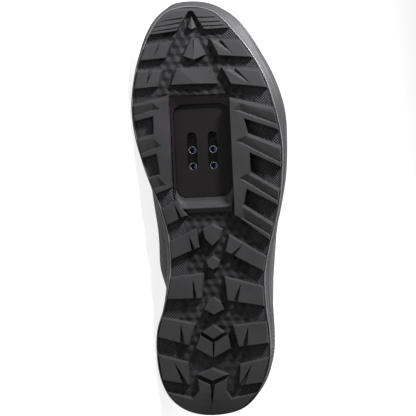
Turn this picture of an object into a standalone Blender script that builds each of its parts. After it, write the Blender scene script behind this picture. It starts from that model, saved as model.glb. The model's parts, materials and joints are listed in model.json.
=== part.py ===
"""A left cycling shoe with a lugged rubber sole and a recessed cleat pocket, lying on its inner side.

The shoe is drawn standing: x runs forward from the back of the heel, y to the outer side of the foot and z up from
the ground. The last step lays it down, with its toe to -X, its outer side up and its tread to -Y.
Stations are shares of the shoe's length from the heel, and sideways places are shares of its width.
"""

import math

import bmesh
import bpy
import numpy as np
from mathutils import Matrix, Vector

MM = 0.001

# The whole shoe
LENGTH = 280 * MM
WIDTH = 106 * MM
TOP_HEIGHT = 104 * MM  # ground to the top eyelets
GAP = 0.3 * MM  # between two pieces that touch
FLOOR_FLAT = 0.5 * MM  # how far the lying shoe's edges are pressed flat

# Outsole
LUG_HEIGHT = 4.5 * MM
SHEET = 2.2 * MM
LUG_DRAFT = 1.1 * MM
EDGE_MARGIN = 0.7 * MM  # lug ends stand this far inside the sheet's edge
SIPE_DEPTH = 3.2 * MM
SIPE_SETBACK = 0.14  # a slit starts this far across its lug
TOE_SPRING = 14 * MM
SPRING_START = 0.72
HEEL_BEVEL = 3.5 * MM
BEVEL_END = 0.07
ARCH_RISE = 1.5 * MM
ARCH_START = 0.28
ARCH_SPAN = 0.26

# Midsole
HEEL_STACK = 26 * MM  # ground to the footbed under the heel

# Cleat pocket, with the two-bolt pattern's own sizes
POCKET_LENGTH = 75 * MM
POCKET_WIDTH = 40.5 * MM
POCKET_CORNER = 1 * MM
POCKET_TURN = 2.6  # degrees, toe end towards the inner side
POCKET_STATION = 0.635
POCKET_SIDE = -0.038
PLATE_LENGTH = 63 * MM
PLATE_WIDTH = 37.5 * MM
PLATE_CORNER = 6.5 * MM
PLATE_THICKNESS = 2 * MM
PLATE_DEPTH = 8.6 * MM  # ground to the plate's lower face
SLOT_SPACING = 14 * MM
SLOT_LENGTH = 25.5 * MM
SLOT_WIDTH = 6.6 * MM
NUT_ROW_SPACING = 11 * MM
NUT_ROW_OFFSET = -4.8 * MM  # the nut rows' middle, from the slots' middle
NUT_HOLE = 5 * MM
NUT_PLATE_LENGTH = 22 * MM
NUT_PLATE_WIDTH = 24 * MM
NUT_PLATE_CORNER = 3 * MM
NUT_PLATE_THICKNESS = 2.5 * MM

# Upper and what is stitched on it
LIP = 4 * MM  # the upper stands this far inside the midsole's widest line
HEEL_FAN = 0.26  # behind this station the upper's sections fan round the heel
TOE_FAN = 0.72  # ahead of this one they fan round the toe
THROAT_END = 0.745  # the station where the throat closes
UPPER_WALL = 2.2 * MM
OVERLAY = 1.2 * MM
OVERLAY_GAP = 0.4 * MM
OVERLAY_START = 0.08  # where the cap and the counter begin, as a share of their own height
TOE_CAP_END = 0.80  # the station where the toe cap stops
TOE_CAP_EDGE = (0.13, 0.50)  # its top edge there and at the tip, as shares of the upper's side
COUNTER_END = 0.24
COUNTER_EDGE = (0.12, 0.58)
EYESTAY_ENDS = (0.43, 0.738)
EYESTAY_WIDTH = 0.29  # as a share of the upper's side
EYESTAY_TOP = 0.995
BELLY = 0.4  # how high up its side the upper swells most
INSOLE = 4 * MM
INSOLE_PLAY = 0.6 * MM
TONGUE = 5 * MM
TONGUE_PLAY = 0.8 * MM
TONGUE_CROWN = 0.06  # its rise between the throat's edges, as a share of the way
TONGUE_THINNING = 0.55  # how much thinner it is at its sides
TONGUE_TIP = 30 * MM  # past the throat's top

# Closure
EYELET_ROWS = 5
EYELET_FIRST = 0.695
EYELET_LAST = 0.462
EYELET_INSET = 0.135  # eyelet centres, from the throat edge, as a share of the way to the sole
EYELET_HOLE = 4 * MM
EYELET_BARREL = 5.2 * MM
EYELET_FLANGE = 8.4 * MM
EYELET_RIM = 0.9 * MM
LACE_WIDTH = 5 * MM
LACE_THICKNESS = 1.4 * MM
LACE_HANDLE = 0.36  # how far the lace runs on along the flanges, as a share of its reach
LACE_LIFT = 0.5 * MM  # the lace that leaves an eyelet lies this far above the one that arrives
LACE_CROSS = 0.4 * MM
LACE_CLEARANCE = 0.7 * MM

# Mesh fineness
STATIONS = 34
UPPER_STATIONS = 34
UPPER_ROWS = 9
END_STEPS = 6  # round the tip of the heel or toe lug, on each side
END_SPARE = 0.004  # how near to the tip they come
EYELET_SIDES = 8
ROOF_STEPS = 40
SNAP = 0.3  # a row closer than this to an overlay's edge is left out
SHARP = 32  # degrees


def table(names, rows):
    """A table with named columns."""
    return dict(zip(names.split(), np.array(rows, float).T))


# Where the tread ends on each side
TREAD_EDGE = table(
    "station inner outer",
    [
        (0.000, 0.010, 0.010),
        (0.015, -0.156, 0.207),
        (0.044, -0.243, 0.297),
        (0.083, -0.294, 0.357),
        (0.141, -0.322, 0.396),
        (0.204, -0.319, 0.389),
        (0.267, -0.271, 0.367),
        (0.344, -0.239, 0.361),
        (0.421, -0.249, 0.399),
        (0.499, -0.303, 0.447),
        (0.576, -0.389, 0.469),
        (0.653, -0.450, 0.469),
        (0.731, -0.482, 0.428),
        (0.808, -0.469, 0.361),
        (0.876, -0.421, 0.258),
        (0.924, -0.373, 0.156),
        (0.958, -0.313, 0.070),
        (0.975, -0.252, 0.003),
        (0.984, -0.124, -0.124),
    ],
)

# Where the midsole is widest
WIDEST = table(
    "station inner outer",
    [
        (0.000, 0.010, 0.010),
        (0.015, -0.160, 0.211),
        (0.044, -0.246, 0.303),
        (0.083, -0.297, 0.367),
        (0.141, -0.329, 0.408),
        (0.204, -0.325, 0.414),
        (0.267, -0.290, 0.405),
        (0.344, -0.271, 0.396),
        (0.421, -0.281, 0.415),
        (0.499, -0.332, 0.459),
        (0.576, -0.399, 0.491),
        (0.653, -0.466, 0.498),
        (0.731, -0.498, 0.485),
        (0.808, -0.485, 0.421),
        (0.876, -0.447, 0.325),
        (0.924, -0.405, 0.243),
        (0.963, -0.341, 0.150),
        (0.982, -0.284, 0.073),
        (0.994, -0.236, 0.000),
        (1.000, -0.118, -0.118),
    ],
)

# The midsole's side from its bottom edge to its top: how far out, from the tread's edge at 0 to the widest line at 1,
# and how far back in from there, as a share of the lip
MIDSOLE_SIDE = table(
    "level reach inset",
    [
        (0.00, 0.00, 0.00),
        (0.30, 0.72, 0.00),
        (0.40, 0.80, 0.22),
        (0.50, 0.92, 0.00),
        (0.78, 1.00, 0.00),
        (1.00, 1.00, 0.40),
    ],
)

# The footbed's height, as a share of the heel stack
FOOTBED = table(
    "station height",
    [
        (0.00, 1.00),
        (0.16, 0.98),
        (0.30, 0.93),
        (0.45, 0.79),
        (0.60, 0.66),
        (0.70, 0.61),
        (0.80, 0.64),
        (0.90, 0.76),
        (1.00, 0.96),
    ],
)

# The line above which the upper closes
SPINE = table(
    "station side",
    [
        (0.00, 0.022),
        (0.13, 0.035),
        (0.35, 0.052),
        (0.50, 0.035),
        (0.65, 0.000),
        (0.80, -0.040),
        (1.00, -0.099),
    ],
)

# The upper's sections: the height of its top edge as a share of TOP_HEIGHT, that edge's distance from the spine as a
# share of the half width there, the swell of each side as a share of WIDTH, and the bend of the shoulder
UPPER_SECTIONS = table(
    "station top edge swell_inner swell_outer out drop",
    [
        (0.00, 0.900, 0.80, 0.050, 0.050, 0.20, 0.36),
        (0.05, 0.885, 0.84, 0.030, 0.045, 0.30, 0.37),
        (0.12, 0.830, 0.92, 0.005, 0.040, 0.50, 0.40),
        (0.20, 0.775, 0.97, 0.010, 0.045, 0.60, 0.40),
        (0.28, 0.785, 0.94, 0.100, 0.075, 0.60, 0.36),
        (0.35, 0.870, 0.82, 0.260, 0.110, 0.56, 0.28),
        (0.41, 0.975, 0.62, 0.285, 0.115, 0.54, 0.18),
        (0.44, 1.000, 0.54, 0.275, 0.105, 0.54, 0.15),
        (0.52, 0.900, 0.43, 0.210, 0.080, 0.55, 0.12),
        (0.60, 0.785, 0.35, 0.090, 0.050, 0.57, 0.10),
        (0.68, 0.672, 0.26, 0.040, 0.040, 0.60, 0.07),
        (0.725, 0.612, 0.15, 0.030, 0.038, 0.62, 0.04),
        (0.745, 0.592, 0.00, 0.030, 0.038, 0.62, 0.02),
        (0.80, 0.540, 0.00, 0.030, 0.035, 0.64, 0.02),
        (0.86, 0.495, 0.00, 0.028, 0.030, 0.66, 0.02),
        (1.00, 0.495, 0.00, 0.030, 0.030, 0.68, 0.05),
    ],
)

# The tongue's half width, as a share of WIDTH
TONGUE_SECTIONS = table(
    "station half",
    [
        (0.415, 0.148),
        (0.500, 0.205),
        (0.620, 0.185),
        (0.710, 0.135),
        (0.757, 0.080),
    ],
)

# The free end of the tongue: how far along it a row lies, how steeply the way to that row rises from the rim of the
# throat in degrees, and the row's width as a share of the width at the rim
TONGUE_RISE = table(
    "share lean spread",
    [
        (0.28, 44, 1.02),
        (0.56, 48, 1.02),
        (0.82, 52, 0.92),
        (1.00, 54, 0.66),
    ],
)

# Single lugs that run in from the tread's edge. The inner corners have their own stations and sideways places, and
# the sipe crosses the lug at a share of its reach, counted from the inner end. It is wide at its heel end (1) or at
# its toe end (-1), and its width is in millimetres.
EDGE_LUGS = table(
    "side outer_front outer_back inner_front inner_back reach_front reach_back sipe_front sipe_back opens sipe_width",
    [
        (-1, 0.892, 0.850, 0.901, 0.856, -0.227, -0.268, 0.44, 0.50, -1, 1.5),
        (-1, 0.830, 0.781, 0.832, 0.787, -0.287, -0.316, 0.46, 0.50, -1, 2.0),
        (-1, 0.497, 0.454, 0.519, 0.479, -0.195, -0.128, 0.25, 0.34, 1, 2.6),
        (-1, 0.418, 0.372, 0.450, 0.402, -0.073, -0.051, 0.33, 0.22, 1, 2.6),
        (-1, 0.332, 0.277, 0.343, 0.280, -0.019, -0.035, 0.36, 0.20, 1, 2.6),
        (-1, 0.236, 0.187, 0.221, 0.167, -0.073, -0.115, 0.46, 0.22, 1, 2.6),
        (-1, 0.147, 0.084, 0.128, 0.073, -0.121, -0.112, 0.54, 0.16, 1, 2.6),
        (1, 0.903, 0.857, 0.906, 0.862, 0.003, 0.064, 0.42, 0.56, -1, 2.6),
        (1, 0.833, 0.784, 0.837, 0.793, 0.080, 0.144, 0.42, 0.62, -1, 2.6),
        (1, 0.383, 0.345, 0.436, 0.393, 0.131, 0.108, 0.42, 0.20, 1, 2.6),
        (1, 0.311, 0.262, 0.335, 0.275, 0.102, 0.124, 0.46, 0.22, 1, 2.6),
        (1, 0.227, 0.174, 0.218, 0.164, 0.156, 0.195, 0.48, 0.22, 1, 2.6),
        (1, 0.143, 0.080, 0.124, 0.071, 0.201, 0.198, 0.48, 0.12, 1, 2.6),
    ],
)

# The teeth of the two combs beside the pocket, from the toe back: each tooth's root corners on the rail and its two
# corners on the tread's edge
COMB_TEETH = table(
    "side root_front reach_front outer_front outer_back root_back reach_back",
    [
        (-1, 0.768, -0.249, 0.747, 0.703, 0.715, -0.351),
        (-1, 0.679, -0.348, 0.664, 0.615, 0.625, -0.329),
        (-1, 0.583, -0.310, 0.571, 0.529, 0.543, -0.236),
        (1, 0.763, 0.131, 0.740, 0.682, 0.709, 0.236),
        (1, 0.677, 0.255, 0.646, 0.594, 0.627, 0.271),
        (1, 0.583, 0.271, 0.544, 0.503, 0.540, 0.252),
        (1, 0.506, 0.230, 0.461, 0.419, 0.474, 0.195),
    ],
)

# Lugs along the middle, each a six-sided block that comes to a point at its front and back
MIDDLE_LUGS = table(
    "side front front_corner back_corner back half_front half_back",
    [
        (0.029, 0.461, 0.447, 0.422, 0.404, 0.067, 0.050),
        (0.034, 0.383, 0.372, 0.356, 0.348, 0.047, 0.037),
        (0.040, 0.285, 0.275, 0.254, 0.240, 0.043, 0.066),
    ],
)

# Blocks with outlines of their own, as station and side of each corner
DIAMONDS = [
    [(0.219, 0.037), (0.200, 0.115), (0.182, 0.037), (0.200, -0.041)],
    [(0.116, 0.032), (0.099, 0.136), (0.082, 0.032), (0.099, -0.072)],
    [(0.964, -0.112), (0.932, -0.077), (0.925, -0.108), (0.932, -0.137)],
]
SPLIT_BLOCK = [(0.195, -0.048), (0.176, 0.037), (0.196, 0.128), (0.161, 0.150), (0.137, 0.038), (0.161, -0.080)]
FANG = [(0.907, -0.112), (0.906, -0.067), (0.865, -0.013), (0.851, -0.089), (0.862, -0.163), (0.892, -0.131)]
WEDGE = [(0.834, -0.201), (0.837, 0.019), (0.795, 0.067), (0.792, -0.239)]
HEEL_FRONT = [
    (0.043, 0.153),
    (0.059, 0.121),
    (0.094, 0.134),
    (0.074, 0.032),
    (0.091, -0.067),
    (0.059, -0.057),
    (0.043, -0.096),
]
HEEL_SHOULDER = 0.058
TOE_NOTCH = [(0.926, -0.029), (0.971, -0.108), (0.971, -0.128), (0.923, -0.201)]
TOE_SHOULDER = {-1: 0.913, 1: 0.930}
RIB_STATIONS = [0.957, 0.946, 0.935]  # the three grooves across the toe lug
RIB_WIDTH = 1.1 * MM
RIB_DEPTH = 1.5 * MM
BLOCK_SIPES = [(0.176, 0.037, 0.137, 0.038), (0.074, 0.032, 0.021, 0.027)]  # front and back, station and side
BLOCK_SIPE_WIDTH = 1.8 * MM
COMB_ENDS = {-1: [(0.547, -0.227)], 1: [(0.479, 0.166), (0.590, 0.150)]}  # each comb's last corners, on its rail

FINISHES = {
    # slot: colour, roughness, metallic, weight in kg per cubic metre
    "rubber": ((0.040, 0.038, 0.040), 0.62, 0.0, 1200),
    "midsole": ((0.050, 0.048, 0.050), 0.55, 0.0, 1100),
    "plate": ((0.030, 0.028, 0.030), 0.45, 0.0, 1100),
    "steel": ((0.30, 0.30, 0.31), 0.35, 1.0, 7850),
    "fabric": ((0.035, 0.034, 0.037), 0.85, 0.0, 300),
    "overlay": ((0.045, 0.044, 0.047), 0.55, 0.0, 900),
    "lining": ((0.028, 0.027, 0.029), 0.95, 0.0, 300),
    "lace": ((0.050, 0.049, 0.052), 0.90, 0.0, 300),
}


def material(slot):
    """The Principled material of a slot, made once."""
    made = bpy.data.materials.get(slot)
    if made is None:
        colour, roughness, metallic, _ = FINISHES[slot]
        made = bpy.data.materials.new(slot)
        made.use_nodes = True
        shader = made.node_tree.nodes["Principled BSDF"]
        shader.inputs["Base Color"].default_value = (*colour, 1)
        shader.inputs["Roughness"].default_value = roughness
        shader.inputs["Metallic"].default_value = metallic
        made.diffuse_color = (*colour, 1)
    return made


def mesh_object(name, points, faces, slot, merge=0.0):
    """A mesh object with its faces turned outwards."""
    mesh = bpy.data.meshes.new(name)
    mesh.from_pydata([tuple(p) for p in points], [], [tuple(int(i) for i in f) for f in faces])
    work = bmesh.new()
    work.from_mesh(mesh)
    if merge:
        bmesh.ops.remove_doubles(work, verts=work.verts, dist=merge)
    bmesh.ops.recalc_face_normals(work, faces=work.faces)
    work.to_mesh(mesh)
    work.free()
    mesh.materials.append(material(slot))
    made = bpy.data.objects.new(name, mesh)
    bpy.context.scene.collection.objects.link(made)
    return made


def hermite(places, values, at):
    """A smooth curve through the points (places, values), with slopes from each point's neighbours."""
    slopes = np.gradient(values, places)
    i = np.clip(np.searchsorted(places, at, side="right") - 1, 0, len(places) - 2)
    span = places[i + 1] - places[i]
    t = np.clip((at - places[i]) / span, 0, 1)
    start = (1 + 2 * t) * (1 - t) ** 2 * values[i] + t * (1 - t) ** 2 * span * slopes[i]
    end = t * t * (3 - 2 * t) * values[i + 1] - t * t * (1 - t) * span * slopes[i + 1]
    return start + end


def column(rows, name, station):
    """A table's column at any station."""
    return hermite(rows["station"], rows[name], station)


def side_column(side):
    """The column of an outline that holds a side: -1 is the inner side of the foot, 1 the outer."""
    return "inner" if side < 0 else "outer"


def turn_at(rows, station):
    """How far round from heel (0) to toe (1) a station lies, spaced so that the round ends stay smooth."""
    heel, toe = rows["station"][0], rows["station"][-1]
    return np.arccos(np.clip(1 - 2 * (station - heel) / (toe - heel), -1, 1)) / math.pi


def outline_point(rows, side, turn):
    """The x and y of an outline at a turn."""
    heel, toe = rows["station"][0], rows["station"][-1]
    station = heel + (toe - heel) * (1 - np.cos(np.pi * turn)) / 2
    across = hermite(turn_at(rows, rows["station"]), rows[side_column(side)], turn)
    return np.stack([station * LENGTH, across * WIDTH], -1)


def ground(x):
    """The height of the tread's lowest faces: flat under heel and ball, rising at the toe, the heel's back edge and
    a little under the arch."""
    s = np.asarray(x) / LENGTH
    spring = TOE_SPRING * (np.clip(s - SPRING_START, 0, None) / (1 - SPRING_START)) ** 2
    bevel = HEEL_BEVEL * (np.clip(BEVEL_END - s, 0, None) / BEVEL_END) ** 2
    arch = ARCH_RISE * np.sin(np.pi * np.clip((s - ARCH_START) / ARCH_SPAN, 0, 1)) ** 2
    return spring + bevel + arch


def sheet_bottom(x):
    """The floor of the channels between the lugs."""
    return ground(x) + LUG_HEIGHT


def sheet_top(x):
    """The outsole's upper face."""
    return sheet_bottom(x) + SHEET


def footbed(x):
    """The midsole's upper face."""
    return HEEL_STACK * column(FOOTBED, "height", np.asarray(x) / LENGTH)


def ring(inner, outer):
    """One closed ring from two sides that share their first and last points."""
    return np.concatenate([outer, inner[-2:0:-1]])


def loft(name, rings, slot):
    """A closed solid from rings of equal length, its two ends closed by strips from side to side."""
    count = len(rings[0])
    half = count // 2
    faces = []
    for level in range(len(rings) - 1):
        low, high = level * count, (level + 1) * count
        faces += [(low + i, low + (i + 1) % count, high + (i + 1) % count, high + i) for i in range(count)]
    for base in (0, (len(rings) - 1) * count):
        faces.append((base, base + 1, base + count - 1))
        faces += [(base + i, base + i + 1, base + count - i - 1, base + count - i) for i in range(1, half - 1)]
        faces.append((base + half - 1, base + half, base + half + 1))
    return mesh_object(name, np.concatenate(rings), faces, slot)


def lifted(flat, height):
    """Plan points given their height by a function of x."""
    return np.column_stack([flat, height(flat[:, 0])])


def inset_polygon(points, distance):
    """A polygon's corners moved inwards by a distance, whichever way round it runs."""
    area = 0.5 * np.sum(points[:, 0] * np.roll(points[:, 1], -1) - np.roll(points[:, 0], -1) * points[:, 1])
    edges = np.roll(points, -1, 0) - points
    edges /= np.linalg.norm(edges, axis=1)[:, None]
    normals = np.column_stack([-edges[:, 1], edges[:, 0]]) * np.sign(area)
    before = np.roll(normals, 1, 0)
    share = np.clip(1 + np.sum(normals * before, 1), 0.5, None)
    return points + distance * (normals + before) / share[:, None]


def prism(name, root, cap, low, high, slot="rubber"):
    """A block from the polygon cap at height low(x) to the polygon root at height high(x)."""
    count = len(root)
    points = np.concatenate([lifted(cap, low), lifted(root, high)])
    faces = [tuple(range(count)), tuple(range(count, 2 * count))]
    faces += [(i, (i + 1) % count, count + (i + 1) % count, count + i) for i in range(count)]
    made = mesh_object(name, points, faces, slot)
    work = bmesh.new()
    work.from_mesh(made.data)
    bmesh.ops.triangulate(work, faces=[f for f in work.faces if len(f.verts) > 4], ngon_method="EAR_CLIP")
    bmesh.ops.recalc_face_normals(work, faces=work.faces)
    work.to_mesh(made.data)
    work.free()
    return made


def baked(made):
    """Replaces an object's mesh by what its modifiers make of it."""
    graph = bpy.context.evaluated_depsgraph_get()
    mesh = bpy.data.meshes.new_from_object(made.evaluated_get(graph))
    made.modifiers.clear()
    made.data = mesh
    return made


def boolean(made, others, operation):
    """Joins or cuts an object with several others, which are then removed."""
    group = bpy.data.collections.new("tools")
    bpy.context.scene.collection.children.link(group)
    for other in others:
        bpy.context.scene.collection.objects.unlink(other)
        group.objects.link(other)
    modifier = made.modifiers.new(operation.lower(), "BOOLEAN")
    modifier.operation = operation
    modifier.operand_type = "COLLECTION"
    modifier.collection = group
    modifier.solver = "EXACT"
    baked(made)
    for other in others:
        bpy.data.objects.remove(other)
    bpy.data.collections.remove(group)
    return made


def plan(corners):
    """Corners given as shares, in metres."""
    return np.array(corners, float) * [LENGTH, WIDTH]


def edge_place(side, station):
    """The sideways share of a lug's end that reaches the tread's edge, less the margin."""
    turn = turn_at(TREAD_EDGE, station)
    across = hermite(turn_at(TREAD_EDGE, TREAD_EDGE["station"]), TREAD_EDGE[side_column(side)], turn)
    return across - side * EDGE_MARGIN / WIDTH


def rows_as_tuples(rows):
    """A table's rows, without their names."""
    return list(zip(*rows.values()))


def rows_of(rows):
    """A table's rows as dictionaries."""
    return [dict(zip(rows, values)) for values in rows_as_tuples(rows)]


def edge_lug(row):
    """The four corners of a lug that ends on the tread's edge."""
    return [
        (row["inner_front"], row["reach_front"]),
        (row["outer_front"], edge_place(row["side"], row["outer_front"])),
        (row["outer_back"], edge_place(row["side"], row["outer_back"])),
        (row["inner_back"], row["reach_back"]),
    ]


def comb(side):
    """The outline of a rail beside the pocket with its teeth."""
    corners = []
    for row in rows_of(COMB_TEETH):
        if row["side"] != side:
            continue
        corners += [
            (row["root_front"], row["reach_front"]),
            (row["outer_front"], edge_place(side, row["outer_front"])),
            (row["outer_back"], edge_place(side, row["outer_back"])),
            (row["root_back"], row["reach_back"]),
        ]
    return corners


def middle_lug(row):
    """The six corners of a block on the middle line."""
    side = row["side"]
    return [
        (row["front"], side),
        (row["front_corner"], side + row["half_front"]),
        (row["back_corner"], side + row["half_back"]),
        (row["back"], side),
        (row["back_corner"], side - row["half_back"]),
        (row["front_corner"], side - row["half_front"]),
    ]


def end_lug(front, shoulders, tip):
    """The outline of the heel or toe lug: its own front corners, then the tread's edge from the inner shoulder round
    the tip to the outer one. The tip is at station 0 or 1 of the tread's edge."""
    heel, toe = TREAD_EDGE["station"][0], TREAD_EDGE["station"][-1]
    shares = np.linspace(0, 1, END_STEPS + 1)[:-1]
    inner, outer = (np.clip(s + shares * (tip - s), heel + END_SPARE, toe - END_SPARE) for s in shoulders)
    end = toe - EDGE_MARGIN / LENGTH if tip == 1 else heel + EDGE_MARGIN / LENGTH
    run = [(s, edge_place(-1, s)) for s in inner] + [(end, TREAD_EDGE["inner"][-1 if tip == 1 else 0])]
    return front + run + [(s, edge_place(1, s)) for s in reversed(outer)]


def above_ground(distance):
    """The height at a distance above the tread's lowest faces."""
    return lambda x: ground(x) + distance


def sipe(name, tip, mouth, width):
    """A cutter for a slit that starts as a point at its tip and is widest at its mouth, given in metres."""
    along = (mouth - tip) / np.linalg.norm(mouth - tip)
    across = np.array([-along[1], along[0]]) * width / 2
    corners = np.array([tip, mouth + across + along * LUG_DRAFT, mouth - across + along * LUG_DRAFT])
    return prism(name, corners, corners, above_ground(-LUG_HEIGHT), above_ground(SIPE_DEPTH))


def edge_sipe(index, row):
    """The slit across an edge lug."""
    corners = plan(edge_lug(row))
    front = corners[0] + row["sipe_front"] * (corners[1] - corners[0])
    back = corners[3] + row["sipe_back"] * (corners[2] - corners[3])
    tip, mouth = (front, back) if row["opens"] > 0 else (back, front)
    return sipe(f"sipe_{index}", tip + SIPE_SETBACK * (mouth - tip), mouth, row["sipe_width"] * MM)


def toe_groove(index, station):
    """A groove across the toe lug."""
    half = RIB_WIDTH / LENGTH / 2
    corners = plan([(station - half, -0.5), (station + half, -0.5), (station + half, 0.5), (station - half, 0.5)])
    return prism(f"groove_{index}", corners, corners, above_ground(-LUG_HEIGHT), above_ground(RIB_DEPTH))


def pocket_frame():
    """The pocket's middle and its two directions: forward and to the outer side."""
    turn = math.radians(POCKET_TURN)
    middle = np.array([POCKET_STATION * LENGTH, POCKET_SIDE * WIDTH])
    return middle, np.array([math.cos(turn), -math.sin(turn)]), np.array([math.sin(turn), math.cos(turn)])


def rounded_rectangle(length, width, corner, steps=4, forward=0.0, aside=0.0):
    """A rounded rectangle in the pocket's frame, moved forward and aside from its middle."""
    middle, ahead, across = pocket_frame()
    points = []
    for quarter, (a, b) in enumerate(((1, 1), (-1, 1), (-1, -1), (1, -1))):
        for step in range(steps + 1):
            angle = math.pi / 2 * (quarter + step / steps)
            u = a * (length / 2 - corner) + corner * math.cos(angle) + forward
            v = b * (width / 2 - corner) + corner * math.sin(angle) + aside
            points.append(middle + u * ahead + v * across)
    return np.array(points)


def level(height):
    """A constant height."""
    return lambda x: np.full(np.shape(x), height)


def build_outsole():
    """The rubber sheet with its lugs, slits and pocket."""
    turns = np.linspace(0, 1, STATIONS + 1)
    flat = ring(outline_point(TREAD_EDGE, -1, turns), outline_point(TREAD_EDGE, 1, turns))
    sheet = loft("outsole", [lifted(flat, sheet_bottom), lifted(flat, sheet_top)], "rubber")
    outlines = [edge_lug(row) for row in rows_of(EDGE_LUGS)]
    outlines += [comb(side) + COMB_ENDS[side] for side in (-1, 1)]
    outlines += [middle_lug(row) for row in rows_of(MIDDLE_LUGS)]
    outlines += [*DIAMONDS, SPLIT_BLOCK, FANG, WEDGE]
    outlines.append(end_lug(HEEL_FRONT, (HEEL_SHOULDER, HEEL_SHOULDER), 0))
    outlines.append(end_lug(TOE_NOTCH, (TOE_SHOULDER[-1], TOE_SHOULDER[1]), 1))
    sunk = above_ground(LUG_HEIGHT + SHEET / 2)
    lugs = []
    for index, outline in enumerate(outlines):
        root = plan(outline)
        lugs.append(prism(f"lug_{index}", root, inset_polygon(root, LUG_DRAFT), ground, sunk))
    boolean(sheet, lugs, "UNION")
    cuts = [edge_sipe(i, row) for i, row in enumerate(rows_of(EDGE_LUGS))]
    for i, (station, side, back_station, back_side) in enumerate(BLOCK_SIPES):
        front, back = plan([(station, side), (back_station, back_side)])
        cuts.append(sipe(f"block_sipe_{i}", front, back, BLOCK_SIPE_WIDTH))
    cuts += [toe_groove(i, station) for i, station in enumerate(RIB_STATIONS)]
    pocket = rounded_rectangle(POCKET_LENGTH, POCKET_WIDTH, POCKET_CORNER, 2)
    cuts.append(prism("pocket", pocket, pocket, level(-LUG_HEIGHT), level(HEEL_STACK)))
    return boolean(sheet, cuts, "DIFFERENCE")


def midsole_ring(row, turns):
    """The midsole's outline at one level of its side."""
    sides = []
    for side in (-1, 1):
        low = outline_point(TREAD_EDGE, side, turns)
        wide = outline_point(WIDEST, side, turns)
        flat = low + row["reach"] * (wide - low)
        flat = towards_spine(flat, row["inset"] * LIP)
        x = flat[:, 0]
        bottom = sheet_top(x) + GAP
        sides.append(np.column_stack([flat, bottom + row["level"] * (footbed(x) - bottom)]))
    return ring(*sides)


def spine_station(station):
    """The station above which a section of the upper closes: the same along the middle, held back at both ends so
    that the sections fan round heel and toe."""
    heels = np.clip((HEEL_FAN - station) / HEEL_FAN, 0, 1)
    toes = np.clip((station - TOE_FAN) / (1 - TOE_FAN), 0, 1)
    held = np.where(station < HEEL_FAN, HEEL_FAN - HEEL_FAN / 2 * (1 - (1 - heels) ** 2), station)
    return np.where(station > TOE_FAN, TOE_FAN + (1 - TOE_FAN) / 2 * (1 - (1 - toes) ** 2), held)


def spine_point(x):
    """The spine's x and y for a point of the outline at x."""
    station = spine_station(np.asarray(x) / LENGTH)
    return np.stack([station * LENGTH, column(SPINE, "side", station) * WIDTH], -1)


def towards_spine(flat, distance):
    """Plan points moved a distance towards the spine."""
    reach = spine_point(flat[:, 0]) - flat
    return flat + reach * (distance / np.linalg.norm(reach, axis=1))[:, None]


def build_midsole():
    """The foam wedge between the outsole and the upper, with a window above the pocket."""
    turns = np.linspace(0, 1, STATIONS + 1)
    rings = [midsole_ring(row, turns) for row in rows_of(MIDSOLE_SIDE)]
    wedge = loft("midsole", rings, "midsole")
    window = rounded_rectangle(PLATE_LENGTH, PLATE_WIDTH, PLATE_CORNER)
    return boolean(wedge, [prism("window", window, window, level(0), level(2 * HEEL_STACK))], "DIFFERENCE")


def build_cleat_plate():
    """The pocket's floor, with a slot for each row of bolts."""
    outline = rounded_rectangle(PLATE_LENGTH - 2 * GAP, PLATE_WIDTH - 2 * GAP, PLATE_CORNER - GAP)
    plate = prism("cleat_plate", outline, outline, level(PLATE_DEPTH), level(PLATE_DEPTH + PLATE_THICKNESS), "plate")
    slots = []
    for side in (-1, 1):
        slot = rounded_rectangle(SLOT_LENGTH, SLOT_WIDTH, SLOT_WIDTH / 2.001, 5, aside=side * SLOT_SPACING / 2)
        slots.append(prism(f"slot_{side}", slot, slot, level(0), level(HEEL_STACK)))
    return boolean(plate, slots, "DIFFERENCE")


def build_nut_plate():
    """The steel plate behind the slots, with four bolt holes."""
    bottom = PLATE_DEPTH + PLATE_THICKNESS + GAP
    outline = rounded_rectangle(NUT_PLATE_LENGTH, NUT_PLATE_WIDTH, NUT_PLATE_CORNER, 3, forward=NUT_ROW_OFFSET)
    plate = prism("nut_plate", outline, outline, level(bottom), level(bottom + NUT_PLATE_THICKNESS), "steel")
    holes = []
    for row in (-1, 1):
        for side in (-1, 1):
            hole = rounded_rectangle(
                NUT_HOLE,
                NUT_HOLE,
                NUT_HOLE / 2.001,
                3,
                forward=NUT_ROW_OFFSET + row * NUT_ROW_SPACING / 2,
                aside=side * SLOT_SPACING / 2,
            )
            holes.append(prism(f"hole_{row}_{side}", hole, hole, level(0), level(HEEL_STACK)))
    return boolean(plate, holes, "DIFFERENCE")


def feather(side, turn):
    """The line where the upper meets the midsole, in plan."""
    flat = outline_point(WIDEST, side, turn)
    return towards_spine(flat, LIP)


def section_controls(side, turn):
    """The four control points of the upper's sections: distance from the spine and height of each."""
    foot = feather(side, turn)
    station = outline_point(WIDEST, side, turn)[:, 0] / LENGTH
    half = np.linalg.norm(foot - spine_point(foot[:, 0]), axis=1)
    low = footbed(foot[:, 0]) + GAP
    top = TOP_HEIGHT * column(UPPER_SECTIONS, "top", np.where(station > TOE_FAN, spine_station(station), station))
    edge = half * np.clip(column(UPPER_SECTIONS, "edge", station), 0, 1)
    edge = np.where(station > THROAT_END, 0, edge)
    swell = WIDTH * column(UPPER_SECTIONS, "swell_" + side_column(side), station)
    rise = top - low
    shoulder = edge + column(UPPER_SECTIONS, "out", station) * (half - edge)
    return [
        (half, low),
        (half + swell, low + BELLY * rise),
        (shoulder, top - column(UPPER_SECTIONS, "drop", station) * rise),
        (edge, top),
    ]


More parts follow.
